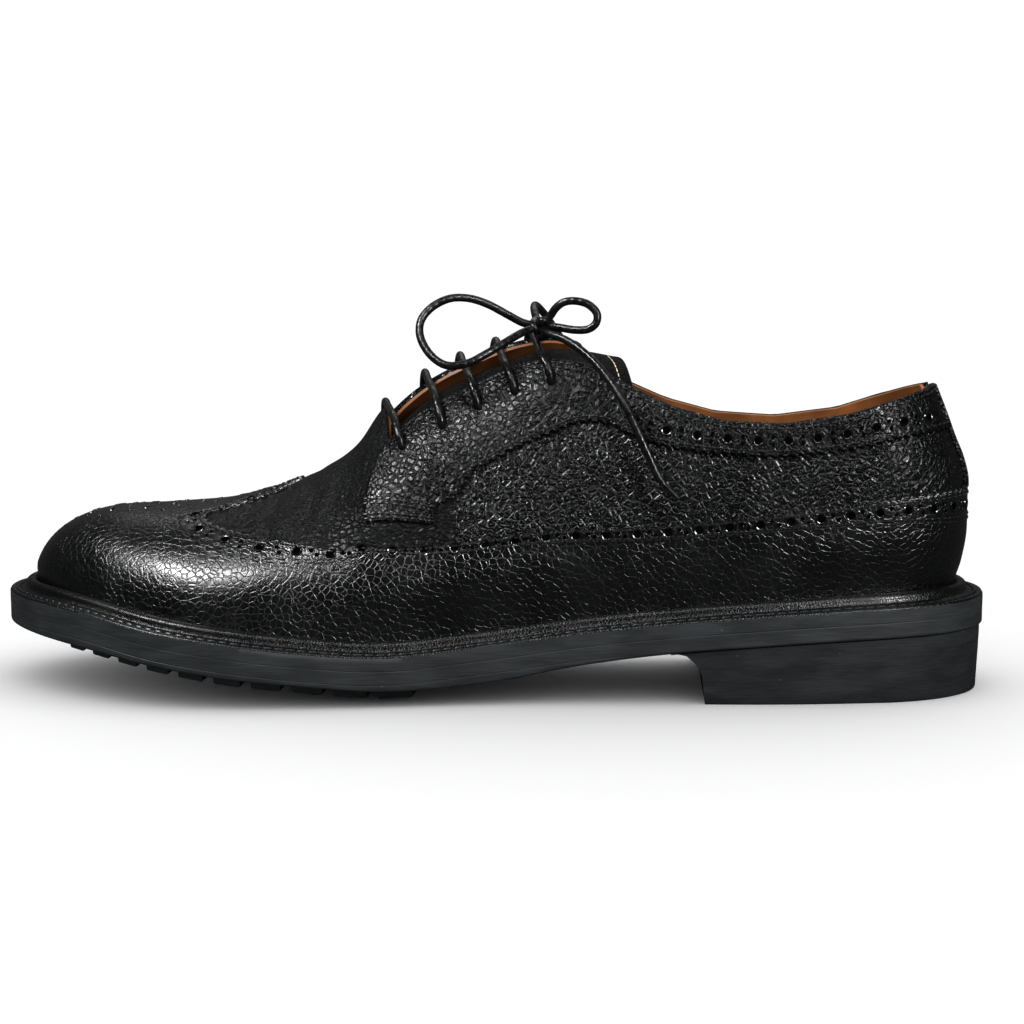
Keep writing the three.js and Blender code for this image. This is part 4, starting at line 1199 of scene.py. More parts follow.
@dataclass
class Wing:
    """The long perforated wing with its gimped edge, rows of stitches and punched holes."""

    height: float = 1.05
    tooth: float = 3.0
    tooth_depth: float = 1.2
    hole_pitch: float = 9.5
    hole_row: float = 5.2

    def seam(self, amount: np.ndarray) -> np.ndarray:
        """Pattern points of the whole edge, lateral heel over the peak to the medial heel."""
        station = station_of(column(WING_EDGE, 0))
        angle = np.radians(column(WING_EDGE, 1))
        s = np.concatenate([station, station[::-1][1:]])
        a = np.concatenate([angle, np.pi - angle[::-1][1:]])
        return catmull(to_pattern(s, a), np.asarray(amount, float).ravel()).reshape(*np.shape(amount), 2)

    def place(self, amount: np.ndarray, level: np.ndarray) -> tuple[np.ndarray, np.ndarray]:
        """Station and angle between the edge (0) and the feather line (1).

        Formula: straight lines of the pattern plane at the toe, straight lines of station and
        angle along the sides, blended by how far along the seam the place is.
        """
        amount, level = np.broadcast_arrays(amount, level)
        flat_amount = amount[..., 0] if amount.ndim > 1 else amount
        edge = self.seam(flat_amount)
        if amount.ndim > 1:
            edge = edge[:, None, :] + np.zeros(amount.shape + (2,))
        reach = np.abs(1 - 2 * amount)
        sign = np.sign(1 - 2 * amount)
        foot = np.stack([sign * reach**1.25, np.zeros(amount.shape)], axis=-1)
        start_s, start_a = from_pattern(edge)
        end_s, end_a = 1 - np.abs(foot[..., 0]), np.where(foot[..., 0] > 0, 0.0, np.pi)
        flat_s, flat_a = from_pattern(edge + (foot - edge) * level[..., None])
        turn_s = start_s + (end_s - start_s) * level
        turn_a = start_a + (end_a - start_a) * level
        mix = smoothstep(reach, 0.3, 0.6)
        return flat_s + (turn_s - flat_s) * mix, flat_a + (turn_a - flat_a) * mix

    def build(self, maker: Maker, looks: Finishes, trim: Trim) -> None:
        """Makes the leather, the stitches, the lips and the painted shade of the holes."""
        patch = Patch(self.place, self.seam)
        amounts = even_amounts(self.seam, self.tooth / 2)
        teeth = np.where(np.arange(len(amounts)) % 2 == 0, 0.0, self.tooth_depth)
        near = np.array([0.0, 0.12, 0.35, 1.3, 2.4])
        follow = np.array([1.0, 1.0, 1.0, 0.5, 0.0])
        lift = np.array([0.25, 0.85, self.height, self.height, self.height])
        level = patch.level_at(amounts, near[None, :] + teeth[:, None] * follow[None, :])
        rest = level[:, -1:] + (1 - level[:, -1:]) * np.linspace(0, 1, 46)[None, 1:]
        level = np.concatenate([level, rest], axis=1)
        tail = np.linspace(0, 1, 45)
        height = np.concatenate([lift, self.height - 0.2 * smoothstep(tail, 0.85, 1.0)])
        station, angle = self.place(np.repeat(amounts[:, None], level.shape[1], 1), level)
        station, angle = np.clip(station, 0, 1), np.clip(angle, 0, np.pi)
        outer = LAST.offset(station, angle, np.broadcast_to(height, station.shape))
        inner = LAST.offset(station, angle, np.full(station.shape, 0.05))
        maker.piece("wing_leather", shell(outer, inner), looks.wing, ("wing_overlay",))
        top = self.height + 0.04
        rows = [trim.stitches(patch, d, top) for d in (2.3, 8.9, 10.3)]
        maker.piece("wing_stitches", merged(rows), looks.thread, ("wing_overlay",))
        big = even_amounts(self.seam, self.hole_pitch)[1:-1]
        half = (big[1:] + big[:-1]) / 2
        centres, axes = patch.frames(big, self.hole_row, self.height)
        lips = [stamp(*trim.rim(trim.rim_radius, trim.hole_radius, 0.42), centres, axes)]
        # Painted shade: dark matte discs stand in the big and small holes.
        holes = [stamp(*trim.shade_disc(trim.hole_radius + 0.05), centres + axes[:, 2] * 0.05, axes)]
        for across in (-1.15, 1.15):
            centres, axes = patch.frames(half, self.hole_row + across, self.height)
            lips.append(stamp(*trim.rim(trim.small_rim, trim.small_hole, 0.24), centres, axes))
            holes.append(stamp(*trim.shade_disc(trim.small_hole + 0.04), centres + axes[:, 2] * 0.04, axes))
        maker.piece("wing_lips", merged(lips), looks.lips, ("wing_overlay",))
        maker.piece("wing_holes", merged(holes), looks.hole, ("wing_overlay",))


@dataclass
class Facing:
    """Facing and collar band of one side: gimped inner edge, stitches, holes and the tab."""

    side: Side
    height: float = 1.05
    tooth: float = 3.0
    tooth_depth: float = 1.1
    hole_pitch: float = 9.5

    @property
    def rows(self) -> list[tuple[float, ...]]:
        """The side's table."""
        return FACING_LATERAL if self.side is Side.LATERAL else FACING_MEDIAL

    def line(self, first: int, amount: np.ndarray) -> np.ndarray:
        """Pattern points of the opening edge (0) or the inner edge (2)."""
        station = station_of(column(self.rows, first))
        angle = np.radians(column(self.rows, first + 1))
        if self.side is Side.MEDIAL:
            angle = np.pi - angle
        return catmull(to_pattern(station, angle), np.asarray(amount, float).ravel()).reshape(
            *np.shape(amount), 2
        )

    def seam(self, amount: np.ndarray) -> np.ndarray:
        """Pattern points of the gimped inner edge."""
        return self.line(2, amount)

    def opening(self, amount: np.ndarray) -> np.ndarray:
        """Pattern points of the opening edge."""
        return self.line(0, amount)

    def place(self, amount: np.ndarray, level: np.ndarray) -> tuple[np.ndarray, np.ndarray]:
        """Station and angle between the inner edge (0) and the opening edge (1)."""
        amount, level = np.broadcast_arrays(amount, level)
        a, b = self.seam(amount), self.opening(amount)
        return from_pattern(a + (b - a) * level[..., None])

    def tab_bars(self, trim: Trim, height: float) -> list[tuple[np.ndarray, np.ndarray]]:
        """Two close pairs of stitch lines across the tab at the front of the facing.

        Formula: each line keeps one share of the way from the bottom of the tab to the next row
        of the table, and runs from the opening edge to the inner edge.

        Args:
            trim: the sizes of the stitches.
            height: height over the form.

        Returns:
            Vertices and faces of each line.
        """
        lines = []
        for amount in (0.008, 0.020, 0.050, 0.062):
            level = np.linspace(0.03, 0.97, 9)
            s, a = self.place(np.full(9, amount), level)
            centres = LAST.offset(s, a, np.full(9, height))
            run = unit(np.gradient(centres, axis=0))
            n = LAST.normal(s, a)
            across = unit(np.cross(n, run))
            axes = np.stack([np.cross(across, n), across, n], axis=1)
            lines.append(stamp(*grain_shape(*trim.stitch), centres, axes))
        return lines

    def back_place(self, amount: np.ndarray, level: np.ndarray) -> tuple[np.ndarray, np.ndarray]:
        """Station and angle between the opening edge (0) and the inner edge (1)."""
        return self.place(amount, 1 - np.asarray(level))

    def build(self, maker: Maker, looks: Finishes, trim: Trim) -> None:
        """Makes the leather and its trim."""
        name = f"facing_{self.side.name.lower()}"
        patch, edge = Patch(self.place, self.seam), Patch(self.back_place, self.opening)
        amounts = even_amounts(self.seam, self.tooth / 2)
        teeth = np.where(np.arange(len(amounts)) % 2 == 0, 0.0, self.tooth_depth)
        near = np.array([0.0, 0.12, 0.35, 1.3, 2.4])
        follow = np.array([1.0, 1.0, 1.0, 0.5, 0.0])
        lift = np.array([0.25, 0.85, self.height, self.height, self.height])
        level = patch.level_at(amounts, near[None, :] + teeth[:, None] * follow[None, :])
        rest = level[:, -1:] + (1 - level[:, -1:]) * (1 - np.linspace(1, 0, 26)[None, 1:] ** 1.25)
        level = np.concatenate([level, rest], axis=1)
        tail = 1 - np.linspace(1, 0, 26)[1:] ** 1.25
        height = np.concatenate([lift, self.height - 0.6 * smoothstep(tail, 0.97, 1.0)])
        station, angle = self.place(np.repeat(amounts[:, None], level.shape[1], 1), level)
        outer = LAST.offset(station, angle, np.broadcast_to(height, station.shape))
        inner = LAST.offset(station, angle, np.full(station.shape, 0.05))
        maker.piece(f"{name}_leather", shell(outer, inner), looks.facing, (name,))
        top = self.height + 0.04
        rows = [
            trim.stitches(edge, 1.9, top),
            trim.stitches(edge, 3.6, top, 0.06, 0.44),
            trim.stitches(patch, 2.3, top, 0.12, 1.0),
            trim.stitches(patch, 8.4, top, 0.14, 0.5),
        ]
        rows += self.tab_bars(trim, top)
        maker.piece(f"{name}_stitches", merged(rows), looks.thread, (name,))
        big = even_amounts(self.seam, self.hole_pitch)
        big = big[(big > 0.6) & (big < 0.985)]
        half = (big[1:] + big[:-1]) / 2
        centres, axes = patch.frames(big, 5.3, self.height)
        lips = [stamp(*trim.rim(trim.rim_radius, trim.hole_radius, 0.42), centres, axes)]
        # Painted shade: dark matte discs stand in the big and small holes.
        holes = [stamp(*trim.shade_disc(trim.hole_radius + 0.05), centres + axes[:, 2] * 0.05, axes)]
        for across in (-1.1, 1.1):
            centres, axes = patch.frames(half, 5.3 + across, self.height)
            lips.append(stamp(*trim.rim(trim.small_rim, trim.small_hole, 0.24), centres, axes))
            holes.append(stamp(*trim.shade_disc(trim.small_hole + 0.04), centres + axes[:, 2] * 0.04, axes))
        maker.piece(f"{name}_lips", merged(lips), looks.lips, (name,))
        maker.piece(f"{name}_holes", merged(holes), looks.hole, (name,))


@dataclass
class Medallion:
    """A plain rosette of punched holes on the toe."""

    share: float = 0.9
    petals: int = 8

    def build(self, maker: Maker, looks: Finishes, trim: Trim) -> None:
        """Makes the lips and the holes' painted shade on rings about the centre of the toe."""
        centre = to_pattern(station_of(np.array([self.share])), np.radians([90.0]))[0]
        small, large = [centre], []
        turn = np.linspace(0, 2 * np.pi, self.petals, endpoint=False)
        spots = lambda r, t: centre + np.stack([0.62 * r * np.cos(t), r * np.sin(t)], axis=-1)
        small.extend(spots(0.03, turn))
        large.extend(spots(0.052, turn + np.pi / self.petals))
        small.extend(spots(0.074, turn))
        small.extend(spots(0.094, turn + np.pi / self.petals))
        for lists, rim, hole in ((small, trim.small_rim, trim.small_hole), (large, 1.45, 0.9)):
            s, a = from_pattern(np.array(lists))
            n = LAST.normal(s, a)
            run = unit(np.cross(n, np.array([0, 1.0, 0])))
            axes = np.stack([run, np.cross(n, run), n], axis=1)
            centres = LAST.offset(s, a, np.full(len(s), 1.05))
            size = "small" if rim < 1 else "large"
            lips = stamp(*trim.rim(rim, hole, 0.2), centres, axes)
            maker.piece(f"medallion_lips_{size}", lips, looks.lips, ("wing_overlay",))
            # Painted shade: dark matte discs stand in the holes.
            discs = stamp(*trim.shade_disc(hole + 0.04), centres + n * 0.04, axes)
            maker.piece(f"medallion_holes_{size}", discs, looks.hole, ("wing_overlay",))


@dataclass
class Welt:
    """Storm welt: flat stitched rim, upright step and rounded bead against the upper."""

    inner: float = 8.7
    steps: int = 260

    def loops(self, profile: list[tuple[float, float]]) -> np.ndarray:
        """Profiles of inset and rise carried round the outline."""
        inset, rise = (np.array(v)[None, :] for v in zip(*profile))
        station = np.linspace(0, 1, self.steps)[:, None]
        sides = []
        for side, s in ((-1, station), (1, station[::-1][1:-1])):
            s, i = np.broadcast_arrays(s, inset)
            x, y, *_ = LAST.outline(s, np.full(s.shape, side), i)
            sides.append(np.stack([x, y, LAST.edge_height(x) + rise], axis=-1))
        return np.concatenate(sides)

    def build(self, maker: Maker, looks: Finishes) -> None:
        """Makes the welt and its stitches."""
        turns = np.linspace(np.pi * 0.98, 0.12, 11)
        bead = [(6.9 + 1.85 * np.cos(t), 1.6 + 1.7 * np.sin(t)) for t in turns]
        profile = [
            (0.35, -4.0),
            (0.05, -3.6),
            (0.0, -2.2),
            (0.05, -0.7),
            (0.35, -0.15),
            (0.9, 0.02),
            (1.7, 0.05),
            (2.0, -0.25),
            (3.1, -0.25),
            (3.4, 0.1),
            (4.5, 0.25),
            (4.85, 0.6),
            *bead,
            (self.inner, 1.0),
            (self.inner, -4.0),
        ]
        maker.piece("welt_leather", ring(self.loops(profile)), looks.welt, ("welt",))
        side = [(0.5, -4.62), (-0.03, -4.56), (-0.06, -2.2), (-0.02, -0.8), (0.5, -0.4)]
        maker.piece("welt_side", ring(self.loops(side)), looks.sole, ("outsole",))
        path = self.loops([(2.55, 0.0)])[:, 0]
        path = np.vstack([path, path[:1]])
        run = np.concatenate([[0], np.cumsum(np.linalg.norm(np.diff(path, axis=0), axis=1))])
        at = np.linspace(0, run[-1], int(run[-1] / 3.4), endpoint=False)
        centres = np.stack([np.interp(at, run, path[:, i]) for i in range(3)], axis=1)
        ahead = np.stack([np.interp((at + 0.6) % run[-1], run, path[:, i]) for i in range(3)], axis=1)
        along = unit(ahead - centres)
        across = unit(np.cross(np.array([0, 0, 1.0]), along))
        axes = np.stack([along, across, np.cross(along, across)], axis=1)
        data = stamp(*grain_shape(3.0, 0.95, 0.7), centres, axes)
        maker.piece("welt_stitches", data, looks.thread, ("welt",))


@dataclass
class Outsole:
    """Rubber sole with its side layers, cross-curved tread face and lugs."""

    top_drop: float = 4.3
    tread_inset: float = 6.5
    tread_depth: float = 2.8
    steps: int = 220

    def underside(self, x: np.ndarray, y: np.ndarray) -> np.ndarray:
        """Height of the sole's underside, curved across the forefoot."""
        share = LAST.share_at(x)
        lateral = LAST.sole_width * LAST.along(SOLE_ROWS, 1, share)
        medial = LAST.sole_width * LAST.along(SOLE_ROWS, 2, share)
        half = np.where(y < LAST.centre(share), lateral, medial)
        across = np.clip(np.abs(y - LAST.centre(share)) / half, 0, 1)
        cross = LAST.cross_curve * LAST.along(SOLE_ROWS, 5, share)
        return LAST.edge_height(x) - LAST.side_height(x) - cross * (1 - across**2)

    def body(self) -> tuple[np.ndarray, np.ndarray]:
        """The slab: a grid across the top, down the grooved side and back under the sole.

        Formula: each section runs level across the top, down a side with two shallow grooves at
        fixed depths below the edge, and back along the underside.
        """
        station = np.linspace(0, 1, self.steps)
        drops = np.array([4.3, 4.5, 4.72, 4.85, 4.98, 5.2, 8.6, 8.8, 8.95, 9.1, 9.3])
        ins = np.array([0.3, 0.0, 0.0, 0.06, 0.0, 0.0, 0.0, 0.0, 0.14, 0.0, 0.0])
        lateral_x, lateral_y, *_ = LAST.outline(station, np.full(station.shape, -1), 0.0)
        _, medial_y, *_ = LAST.outline(station, np.full(station.shape, 1), 0.0)
        x = lateral_x
        half = (medial_y - lateral_y) / 2
        middle = (medial_y + lateral_y) / 2
        top = LAST.edge_height(x)
        low = top - LAST.side_height(x)
        across = np.linspace(-1, 1, 25)
        squeeze = np.minimum(1, half / 6.0)

        def wall(side: float, order: slice) -> list[np.ndarray]:
            """The side's rows, top to bottom or back."""
            rows = []
            for drop, inset in zip(drops[order], ins[order]):
                z = np.maximum(top - drop, low + 1.0)
                rows.append(np.stack([x, middle + side * (half - inset * squeeze), z], axis=-1))
            return rows

        rounding = [(0.0, 0.75), (0.12, 0.4), (0.45, 0.08)]
        sections = [
            np.stack([x, middle + half * a * 0.99, top - self.top_drop], axis=-1) for a in across
        ]
        sections += wall(1, slice(None))
        for inset, up in rounding:
            y = middle + (half - inset * squeeze)
            sections.append(np.stack([x, y, self.underside(x, y) + up], axis=-1))
        for a in across[::-1]:
            y = middle + (half - 1.1 * squeeze) * a
            sections.append(np.stack([x, y, self.underside(x, y)], axis=-1))
        for inset, up in rounding[::-1]:
            y = middle - (half - inset * squeeze)
            sections.append(np.stack([x, y, self.underside(x, y) + up], axis=-1))
        sections += wall(-1, slice(None, None, -1))
        grid = np.stack(sections, axis=1)
        grid = np.concatenate([grid, grid[:, :1]], axis=1)
        return grid.reshape(-1, 3), grid_faces(grid.shape[0], grid.shape[1], 0, False)

    def limits(self, x: float) -> tuple[float, float]:
        """Lateral and medial limits of the tread at X."""
        length = LAST.sole_length
        share = LAST.share_at(np.array([x * length / (length - 2 * self.tread_inset)]))
        s = station_of(share)
        _, low, *_ = LAST.outline(s, np.array([-1]), self.tread_inset)
        _, high, *_ = LAST.outline(s, np.array([1]), self.tread_inset)
        return float(low[0]), float(high[0])

    def lug(self, start: float, end: float) -> tuple[np.ndarray, np.ndarray]:
        """One cross block with rounded ground edges, its sides following the outline."""
        x = np.array([start, start - 0.25, start - 0.9, end + 0.9, end + 0.25, end])
        sink = np.array([0.5, 0.12, 0.0, 0.0, 0.12, 0.5])
        across = np.concatenate([[-1, -0.995, -0.98], np.linspace(-0.9, 0.9, 13), [0.98, 0.995, 1]])
        edge = np.array([0.5, 0.12, 0.0] + [0.0] * 13 + [0.0, 0.12, 0.5])
        ends = np.array([self.limits(v) for v in x])
        y = (ends[:, :1] + ends[:, 1:]) / 2 + (ends[:, 1:] - ends[:, :1]) / 2 * across[None, :]
        xs = np.repeat(x[:, None], y.shape[1], 1)
        under = self.underside(xs, y)
        low = np.maximum(under - self.tread_depth, 0.0) + np.maximum(sink[:, None], edge[None, :])
        return shell(np.stack([xs, y, under + 1.2], axis=-1), np.stack([xs, y, low], axis=-1))

    def build(self, maker: Maker, looks: Finishes) -> None:
        """Makes the slab and the lugs."""
        maker.piece("sole_body", self.body(), looks.sole, ("outsole",), sharp=40)
        lugs, start = [], -21.4
        for k in range(10):
            pitch = 13.9 - 0.6 * k
            lugs.append(self.lug(start, start - pitch + 3.4))
            start -= pitch
        maker.piece("sole_lugs", merged(lugs), looks.sole, ("outsole",), sharp=30)


@dataclass
class HeelBlock:
    """Rubber heel with a fillet where its breast meets the waist."""

    seat_gap: float = 0.3
    count: int = 70

    def loop(self, height: float, front: float, inset: float) -> np.ndarray:
        """One closed level of the block, from the lateral breast round the back."""
        length = LAST.sole_length
        share = np.clip((length / 2 - inset - front) / (length - 2 * inset), 0, 1)
        stations = np.linspace(0, 1, self.count) ** 1.0 * station_of(share)
        sides = []
        for side in (-1, 1):
            x, y, *_ = LAST.outline(stations, np.full(stations.shape, side), inset)
            seat = LAST.edge_height(x) - LAST.side_height(x) - self.seat_gap
            sides.append(np.stack([x, y, np.minimum(height, seat)], axis=-1))
        return np.stack([sides[0], sides[1]], axis=0)

    def build(self, maker: Maker, looks: Finishes) -> None:
        """Makes the block from levels carried up its height."""
        levels = [
            (0.0, 67.5, 2.1),
            (0.15, 67.5, 1.75),
            (0.6, 67.4, 1.6),
            (4.5, 67.0, 1.4),
            (9.0, 66.5, 1.2),
            (11.0, 65.6, 1.1),
            (13.0, 64.0, 1.0),
            (15.0, 61.8, 0.95),
            (17.0, 59.2, 0.85),
            (99.0, 57.0, 0.8),
        ]
        loops = np.stack([self.loop(*level) for level in levels])
        ringed = np.concatenate([loops[:, 0, ::-1], loops[:, 1, 1:]], axis=1)
        ringed = np.concatenate([ringed, ringed[:, :1]], axis=1)
        side = (ringed.reshape(-1, 3), grid_faces(ringed.shape[0], ringed.shape[1], 0, False))
        parts = [side]
        for row in (0, -1):
            cap = loops[row]
            across = np.linspace(0, 1, 9)[:, None, None]
            grid = cap[0][None] * (1 - across) + cap[1][None] * across
            parts.append((grid.reshape(-1, 3), grid_faces(grid.shape[0], grid.shape[1], 0, row == 0)))
        maker.piece("heel_rubber", merged(parts), looks.heel, ("heel_block",), sharp=35)


@dataclass
class Tongue:
    """Bowed tongue under the facings, its top edge rounded."""

    thick: float = 2.0

    def grid(self, sink: float) -> np.ndarray:
        """Points of the sheet sunk under the form, deeper along its middle."""
        amount = np.linspace(0, 1, 90)[:, None]
        across = np.linspace(0, 1, 60)[None, :]
        angle = np.radians(45 + 89 * across) + 0 * amount
        bow = 1 - (2 * across - 1) ** 2
        end = 0.338 + 0.02 * bow
        share = 0.665 + (end - 0.665) * amount
        depth = -3.0 - 4.5 * bow - sink
        return LAST.offset(station_of(share), angle, depth + 0 * amount)

    def build(self, maker: Maker, looks: Finishes) -> None:
        """Makes the sheet."""
        top = self.grid(0.0)
        maker.piece("tongue_sheet", shell(top, self.grid(self.thick)), looks.tongue, ("tongue",))
        row = top[-4, 3:-3:2]
        run = unit(np.gradient(row, axis=0))
        across = unit(top[-1, 3:-3:2] - top[-8, 3:-3:2])
        n = unit(np.cross(run, across))
        axes = np.stack([run, np.cross(n, run), n], axis=1)
        data = stamp(*grain_shape(2.0, 0.5, 0.4), row + n * 0.1, axes)
        maker.piece("tongue_stitches", data, looks.pale_thread, ("tongue",))


@dataclass
class BackStrip:
    """Narrow strip over the heel seam, from the wing to the collar."""

    wide: float = 0.03

    def build(self, maker: Maker, looks: Finishes) -> None:
        """Makes the strip as a thin sheet folded round the back."""
        rise = np.radians(np.linspace(27.0, 56.8, 60))[:, None]
        across = np.concatenate([np.linspace(-1, 0, 9), np.linspace(0, 1, 9)[1:]])[None, :]
        station = self.wide * np.abs(across) + 0 * rise
        angle = np.where(across < 0, rise, np.pi - rise)
        lift = 1.32 - 0.9 * smoothstep(np.abs(across), 0.93, 1.0) + 0 * rise
        outer = LAST.offset(station, angle, lift)
        inner = LAST.offset(station, angle, np.full(station.shape, 0.05))
        maker.piece("back_strip_leather", shell(outer, inner), looks.facing, ("back_strip",))


@dataclass
class Laces:
    """Five bars over the throat, the knot and the free cords of the bow."""

    radius: float = 1.25
    sides: int = 14
    rest: float = 3.1

    def smooth_path(self, points: np.ndarray, step: float) -> np.ndarray:
        """Even points along the curve through given points."""
        fine = catmull(points, np.linspace(0, 1, 2000))
        run = np.concatenate([[0], np.cumsum(np.linalg.norm(np.diff(fine, axis=0), axis=1))])
        at = np.linspace(0, run[-1], max(6, int(run[-1] / step)))
        return np.stack([np.interp(at, run, fine[:, i]) for i in range(3)], axis=1)

    def tube(self, path: np.ndarray, taper: float = 0.0) -> tuple[np.ndarray, np.ndarray, np.ndarray]:
        """A round cord along a path, closed at both ends.

        Formula: a circle of the cord's radius in the plane across the path at each point, turned
        as little as possible from one point to the next; the end rings shrink to a point.

        Args:
            path: points in millimetres.
            taper: length over which the last end narrows to a tip.

        Returns:
            Vertices, faces and the pattern coordinates of each vertex.
        """
        run = np.concatenate([[0], np.cumsum(np.linalg.norm(np.diff(path, axis=0), axis=1))])
        tangent = unit(np.gradient(path, run, axis=0))
        first = unit(np.cross(tangent[0], np.array([0.3, 0.2, 1.0])))
        frames = [first]
        for t in tangent[1:]:
            frames.append(unit(frames[-1] - t * np.dot(frames[-1], t)))
        u = np.array(frames)
        w = np.cross(tangent, u)
        radius = np.full(len(path), self.radius)
        if taper > 0:
            radius *= 1 - 0.35 * smoothstep(run, run[-1] - taper, run[-1] - taper * 0.7)
        turn = np.linspace(0, 2 * np.pi, self.sides + 1)
        ringed = path[:, None] + radius[:, None, None] * (
            u[:, None] * np.cos(turn)[None, :, None] + w[:, None] * np.sin(turn)[None, :, None]
        )
        caps = [np.repeat(path[:1, None], self.sides + 1, 1), np.repeat(path[-1:, None], self.sides + 1, 1)]
        small = [path[k] + (ringed[k] - path[k]) * 0.8 for k in (0, -1)]
        grid = np.concatenate([caps[0], small[0][None], ringed, small[1][None], caps[1]])
        along = np.concatenate([[0, 0], run, [run[-1], run[-1]]]) / (2 * self.radius)
        uv = np.stack(
            [np.repeat(along[:, None], self.sides + 1, 1), np.repeat(turn[None, :] / (2 * np.pi) * 3, len(along), 0)],
            axis=-1,
        )
        return grid.reshape(-1, 3), grid_faces(grid.shape[0], grid.shape[1], 0, False), uv.reshape(-1, 2)

    def bar_points(self, row: tuple[float, ...]) -> np.ndarray:
        """Points of one bar from its lateral eyelet over both facing edges to the medial one."""
        near_s, far_s = station_of(row[0]), station_of(row[2])
        near_a, far_a = math.radians(row[1]), math.pi - math.radians(row[3])
        to_far = lambda amount: near_s + (far_s - near_s) * amount
        spot = lambda s, a, h: LAST.offset(np.array([s]), np.array([a]), np.array([h]))[0]
        over = spot(to_far(0.25), math.radians(62.5), self.rest)
        across = spot(to_far(0.8), math.radians(104), self.rest)
        lifts = [over + (across - over) * k + np.array([0, 0, 0.2]) for k in (0.33, 0.67)]
        return np.array(
            [
                spot(near_s, near_a, -1.2),
                spot(near_s, near_a, 1.0),
                spot(to_far(0.05), near_a + math.radians(3), self.rest),
                over,
                *lifts,
                across,
                spot(to_far(0.95), far_a - math.radians(3), self.rest),
                spot(far_s, far_a, 1.0),
                spot(far_s, far_a, -1.2),
            ]
        )

    def knot_path(self) -> np.ndarray:
        """A closed wrap of the knot: a three-lobed curve inside the knot's box."""
        t = np.linspace(0, 2 * np.pi, 220)
        x = (np.sin(t) + 2 * np.sin(2 * t)) / 3 * 2.4
        y = np.sin(3 * t) * 2.5
        z = (np.cos(t) - 2 * np.cos(2 * t)) / 3 * 3.2
        return np.stack([16 + x, -4.6 + y, 112.9 + z], axis=1)

    def build(self, maker: Maker, looks: Finishes) -> None:
        """Makes the bars, the knot and the declared cords."""
        for k, row in enumerate(EYELETS, 1):
            verts, faces, uv = self.tube(self.smooth_path(self.bar_points(row), 0.8))
            name = f"lace_bar_{k}"
            maker.piece(f"{name}_cord", (verts, faces), looks.lace, (name,), uv=uv)
        verts, faces, uv = self.tube(self.knot_path())
        knot = maker.piece("lace_knot_wraps", (verts, faces), looks.lace, ("lace_knot",), uv=uv)
        for name, rows in BOW_PATHS.items():
            path = self.smooth_path(np.array(rows), 0.8)
            tip = 9.0 if name.startswith("lace_end") else 0.0
            verts, faces, uv = self.tube(path, tip)
            cord = maker.piece(f"{name}_cord", (verts, faces), looks.lace, (name,), uv=uv)


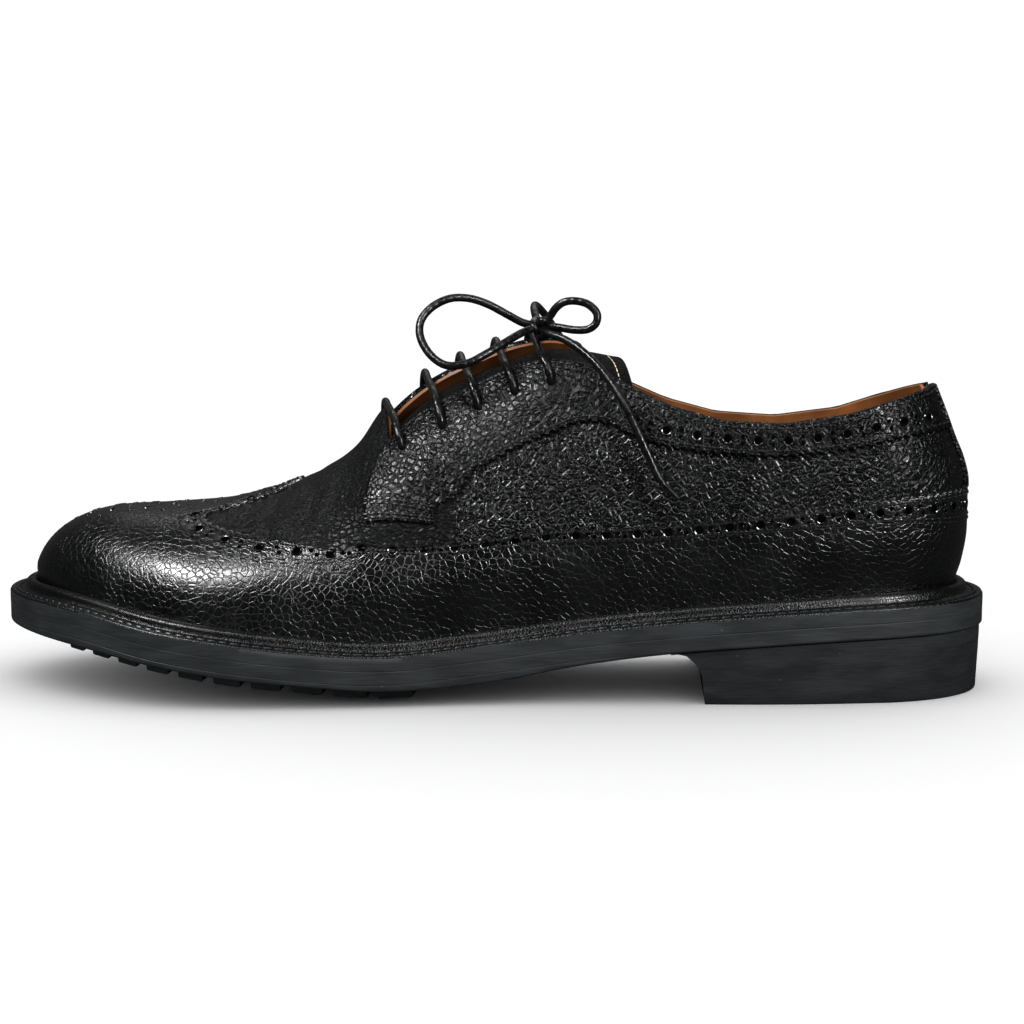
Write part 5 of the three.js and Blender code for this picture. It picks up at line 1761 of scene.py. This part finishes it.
@dataclass
class Studio:
    """White floor, soft light and the camera of the photograph."""

    camera_place: tuple[float, float, float] = (41.6, -717.9, 143.9)
    yaw: float = -2.77
    pitch: float = -7.14
    lens: float = 79.77
    mirrored_floor: float = 0.05
    surround: float = 1.14
    tone_gamma: float = 0.84

    def build(self) -> None:
        """Makes the floor, the lights and the camera."""
        self.floor()
        self.lights()
        self.camera()

    def light_shoe_only(self) -> None:
        """Keeps the panels' light on the shoe, so that the floor stays evenly white."""
        lit = bpy.data.collections.new("lit_by_panels")
        for obj in bpy.context.scene.objects:
            if obj.type == "MESH" and obj.name != "floor":
                lit.objects.link(obj)
        for obj in bpy.context.scene.objects:
            if obj.type == "LIGHT":
                obj.light_linking.receiver_collection = lit

    def floor(self) -> None:
        """A wide white floor, not part of the shoe, dimmer where the shoe mirrors it."""
        mesh = bpy.data.meshes.new("floor")
        half = 12.0
        corners = [(-half, -half, 0), (half, -half, 0), (half, half, 0), (-half, half, 0)]
        mesh.from_pydata(corners, [], [(0, 1, 2, 3)])
        kit = Nodes("floor_white")
        glossy = kit.node("ShaderNodeLightPath").outputs["Is Glossy Ray"]
        colour = kit.tint((0.96, 0.96, 0.965), kit.ramp(glossy, [(0.0, 1.0), (1.0, self.mirrored_floor)]))
        soft = kit.noise(kit.object_place(), 3.0, 2.0)
        mesh.materials.append(kit.shader(colour, 0.9, kit.bump(soft, 0.0001, 0.1), {}))
        obj = bpy.data.objects.new("floor", mesh)
        bpy.context.scene.collection.objects.link(obj)

    def area(
        self, name: str, place: tuple[float, float, float], size: tuple[float, float], power: float,
        target: tuple[float, float, float] = (0, 0, 0.05),
    ) -> None:
        """One soft light panel that faces the shoe."""
        data = bpy.data.lights.new(name, "AREA")
        data.shape = "RECTANGLE"
        data.size, data.size_y = size
        data.energy = power
        obj = bpy.data.objects.new(name, data)
        obj.location = place
        obj.rotation_mode = "QUATERNION"
        obj.rotation_quaternion = (Vector(target) - Vector(place)).to_track_quat("-Z", "Y")
        bpy.context.scene.collection.objects.link(obj)

    def lights(self) -> None:
        """Soft panels over the toe, the quarter and behind, and a surround.

        The surround is white; where it is mirrored in the shoe it is bright above and behind and
        dim in front, as in a room with its panels overhead.
        """
        self.area("toe_panel", (-0.58, -0.44, 1.0), (0.5, 0.2), 18.0, (-0.08, -0.03, 0.05))
        self.area("quarter_panel", (0.40, -0.62, 1.05), (0.7, 0.14), 3.2)
        self.area("heel_panel", (0.66, -0.70, 0.50), (0.26, 0.18), 9.0, (0.115, -0.04, 0.075))
        self.area("back_panel", (0.1, 0.9, 1.0), (1.2, 0.4), 3.0)
        world = bpy.data.worlds.new("surround")
        world.use_nodes = True
        tree = world.node_tree
        tree.nodes.clear()
        place = tree.nodes.new("ShaderNodeTexCoord").outputs["Generated"]
        split = tree.nodes.new("ShaderNodeSeparateXYZ")
        tree.links.new(place, split.inputs[0])

        def rise(socket: bpy.types.NodeSocket, low: float, high: float, top: float) -> bpy.types.NodeSocket:
            """A soft step of one direction from 0 to top."""
            made = tree.nodes.new("ShaderNodeMapRange")
            made.interpolation_type = "SMOOTHSTEP"
            tree.links.new(socket, made.inputs["Value"])
            made.inputs["From Min"].default_value = low
            made.inputs["From Max"].default_value = high
            made.inputs["To Max"].default_value = top
            return made.outputs["Result"]

        def combine(operation: str, a: bpy.types.NodeSocket, b: object) -> bpy.types.NodeSocket:
            """One operation on two values."""
            made = tree.nodes.new("ShaderNodeMath")
            made.operation = operation
            tree.links.new(a, made.inputs[0])
            if isinstance(b, bpy.types.NodeSocket):
                tree.links.new(b, made.inputs[1])
            else:
                made.inputs[1].default_value = b
            return made.outputs[0]

        mirrored = combine("ADD", rise(split.outputs["Y"], 0.1, 0.8, 0.1), 0.004)
        mirrored = combine("ADD", mirrored, rise(split.outputs["Z"], 0.5, 0.95, 0.03))
        glossy = tree.nodes.new("ShaderNodeLightPath").outputs["Is Glossy Ray"]
        gap = combine("MULTIPLY", combine("SUBTRACT", mirrored, self.surround), glossy)
        strength = combine("ADD", gap, self.surround)
        back = tree.nodes.new("ShaderNodeBackground")
        back.inputs["Color"].default_value = (1.0, 1.0, 1.0, 1.0)
        tree.links.new(strength, back.inputs["Strength"])
        end = tree.nodes.new("ShaderNodeOutputWorld")
        tree.links.new(back.outputs["Background"], end.inputs["Surface"])
        bpy.context.scene.world = world
        bpy.context.scene.view_settings.view_transform = "Standard"
        bpy.context.scene.view_settings.gamma = self.tone_gamma

    def camera(self) -> None:
        """The camera: a place, a turn about the upright and a tilt."""
        yaw, pitch = math.radians(self.yaw), math.radians(self.pitch)
        forward = Vector((math.sin(yaw) * math.cos(pitch), math.cos(yaw) * math.cos(pitch), math.sin(pitch)))
        right = Vector((math.cos(yaw), -math.sin(yaw), 0))
        up = right.cross(forward)
        data = bpy.data.cameras.new("camera")
        data.lens = self.lens
        data.sensor_width = 36.0
        data.clip_start, data.clip_end = 0.01, 60
        obj = bpy.data.objects.new("camera", data)
        turn = Matrix((right, up, -forward)).transposed()
        obj.matrix_world = Matrix.Translation(Vector(self.camera_place) * MM) @ turn.to_4x4()
        bpy.context.scene.collection.objects.link(obj)
        bpy.context.scene.camera = obj


def main() -> None:
    """Loads the frame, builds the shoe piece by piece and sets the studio."""
    logging.basicConfig(level=logging.INFO, format="%(message)s")
    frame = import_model()
    studio = Studio()
    studio.build()
    looks = Finishes.make()
    maker, trim = Maker(), Trim()
    Laces().build(maker, looks)
    upper = Upper()
    upper.build(maker, looks)
    VampSkin().build(maker, looks, upper)
    Wing().build(maker, looks, trim)
    for side in Side:
        Facing(side).build(maker, looks, trim)
    Medallion().build(maker, looks, trim)
    BackStrip().build(maker, looks)
    Tongue().build(maker, looks)
    Welt().build(maker, looks)
    Outsole().build(maker, looks)
    HeelBlock().build(maker, looks)
    insole = frame["nodes"]["insole"]
    insole.data.materials.clear()
    insole.data.materials.append(looks.lining)
    studio.light_shoe_only()
    LOG.info("pieces made: %d", maker.count)


if __name__ == "__main__":
    main()
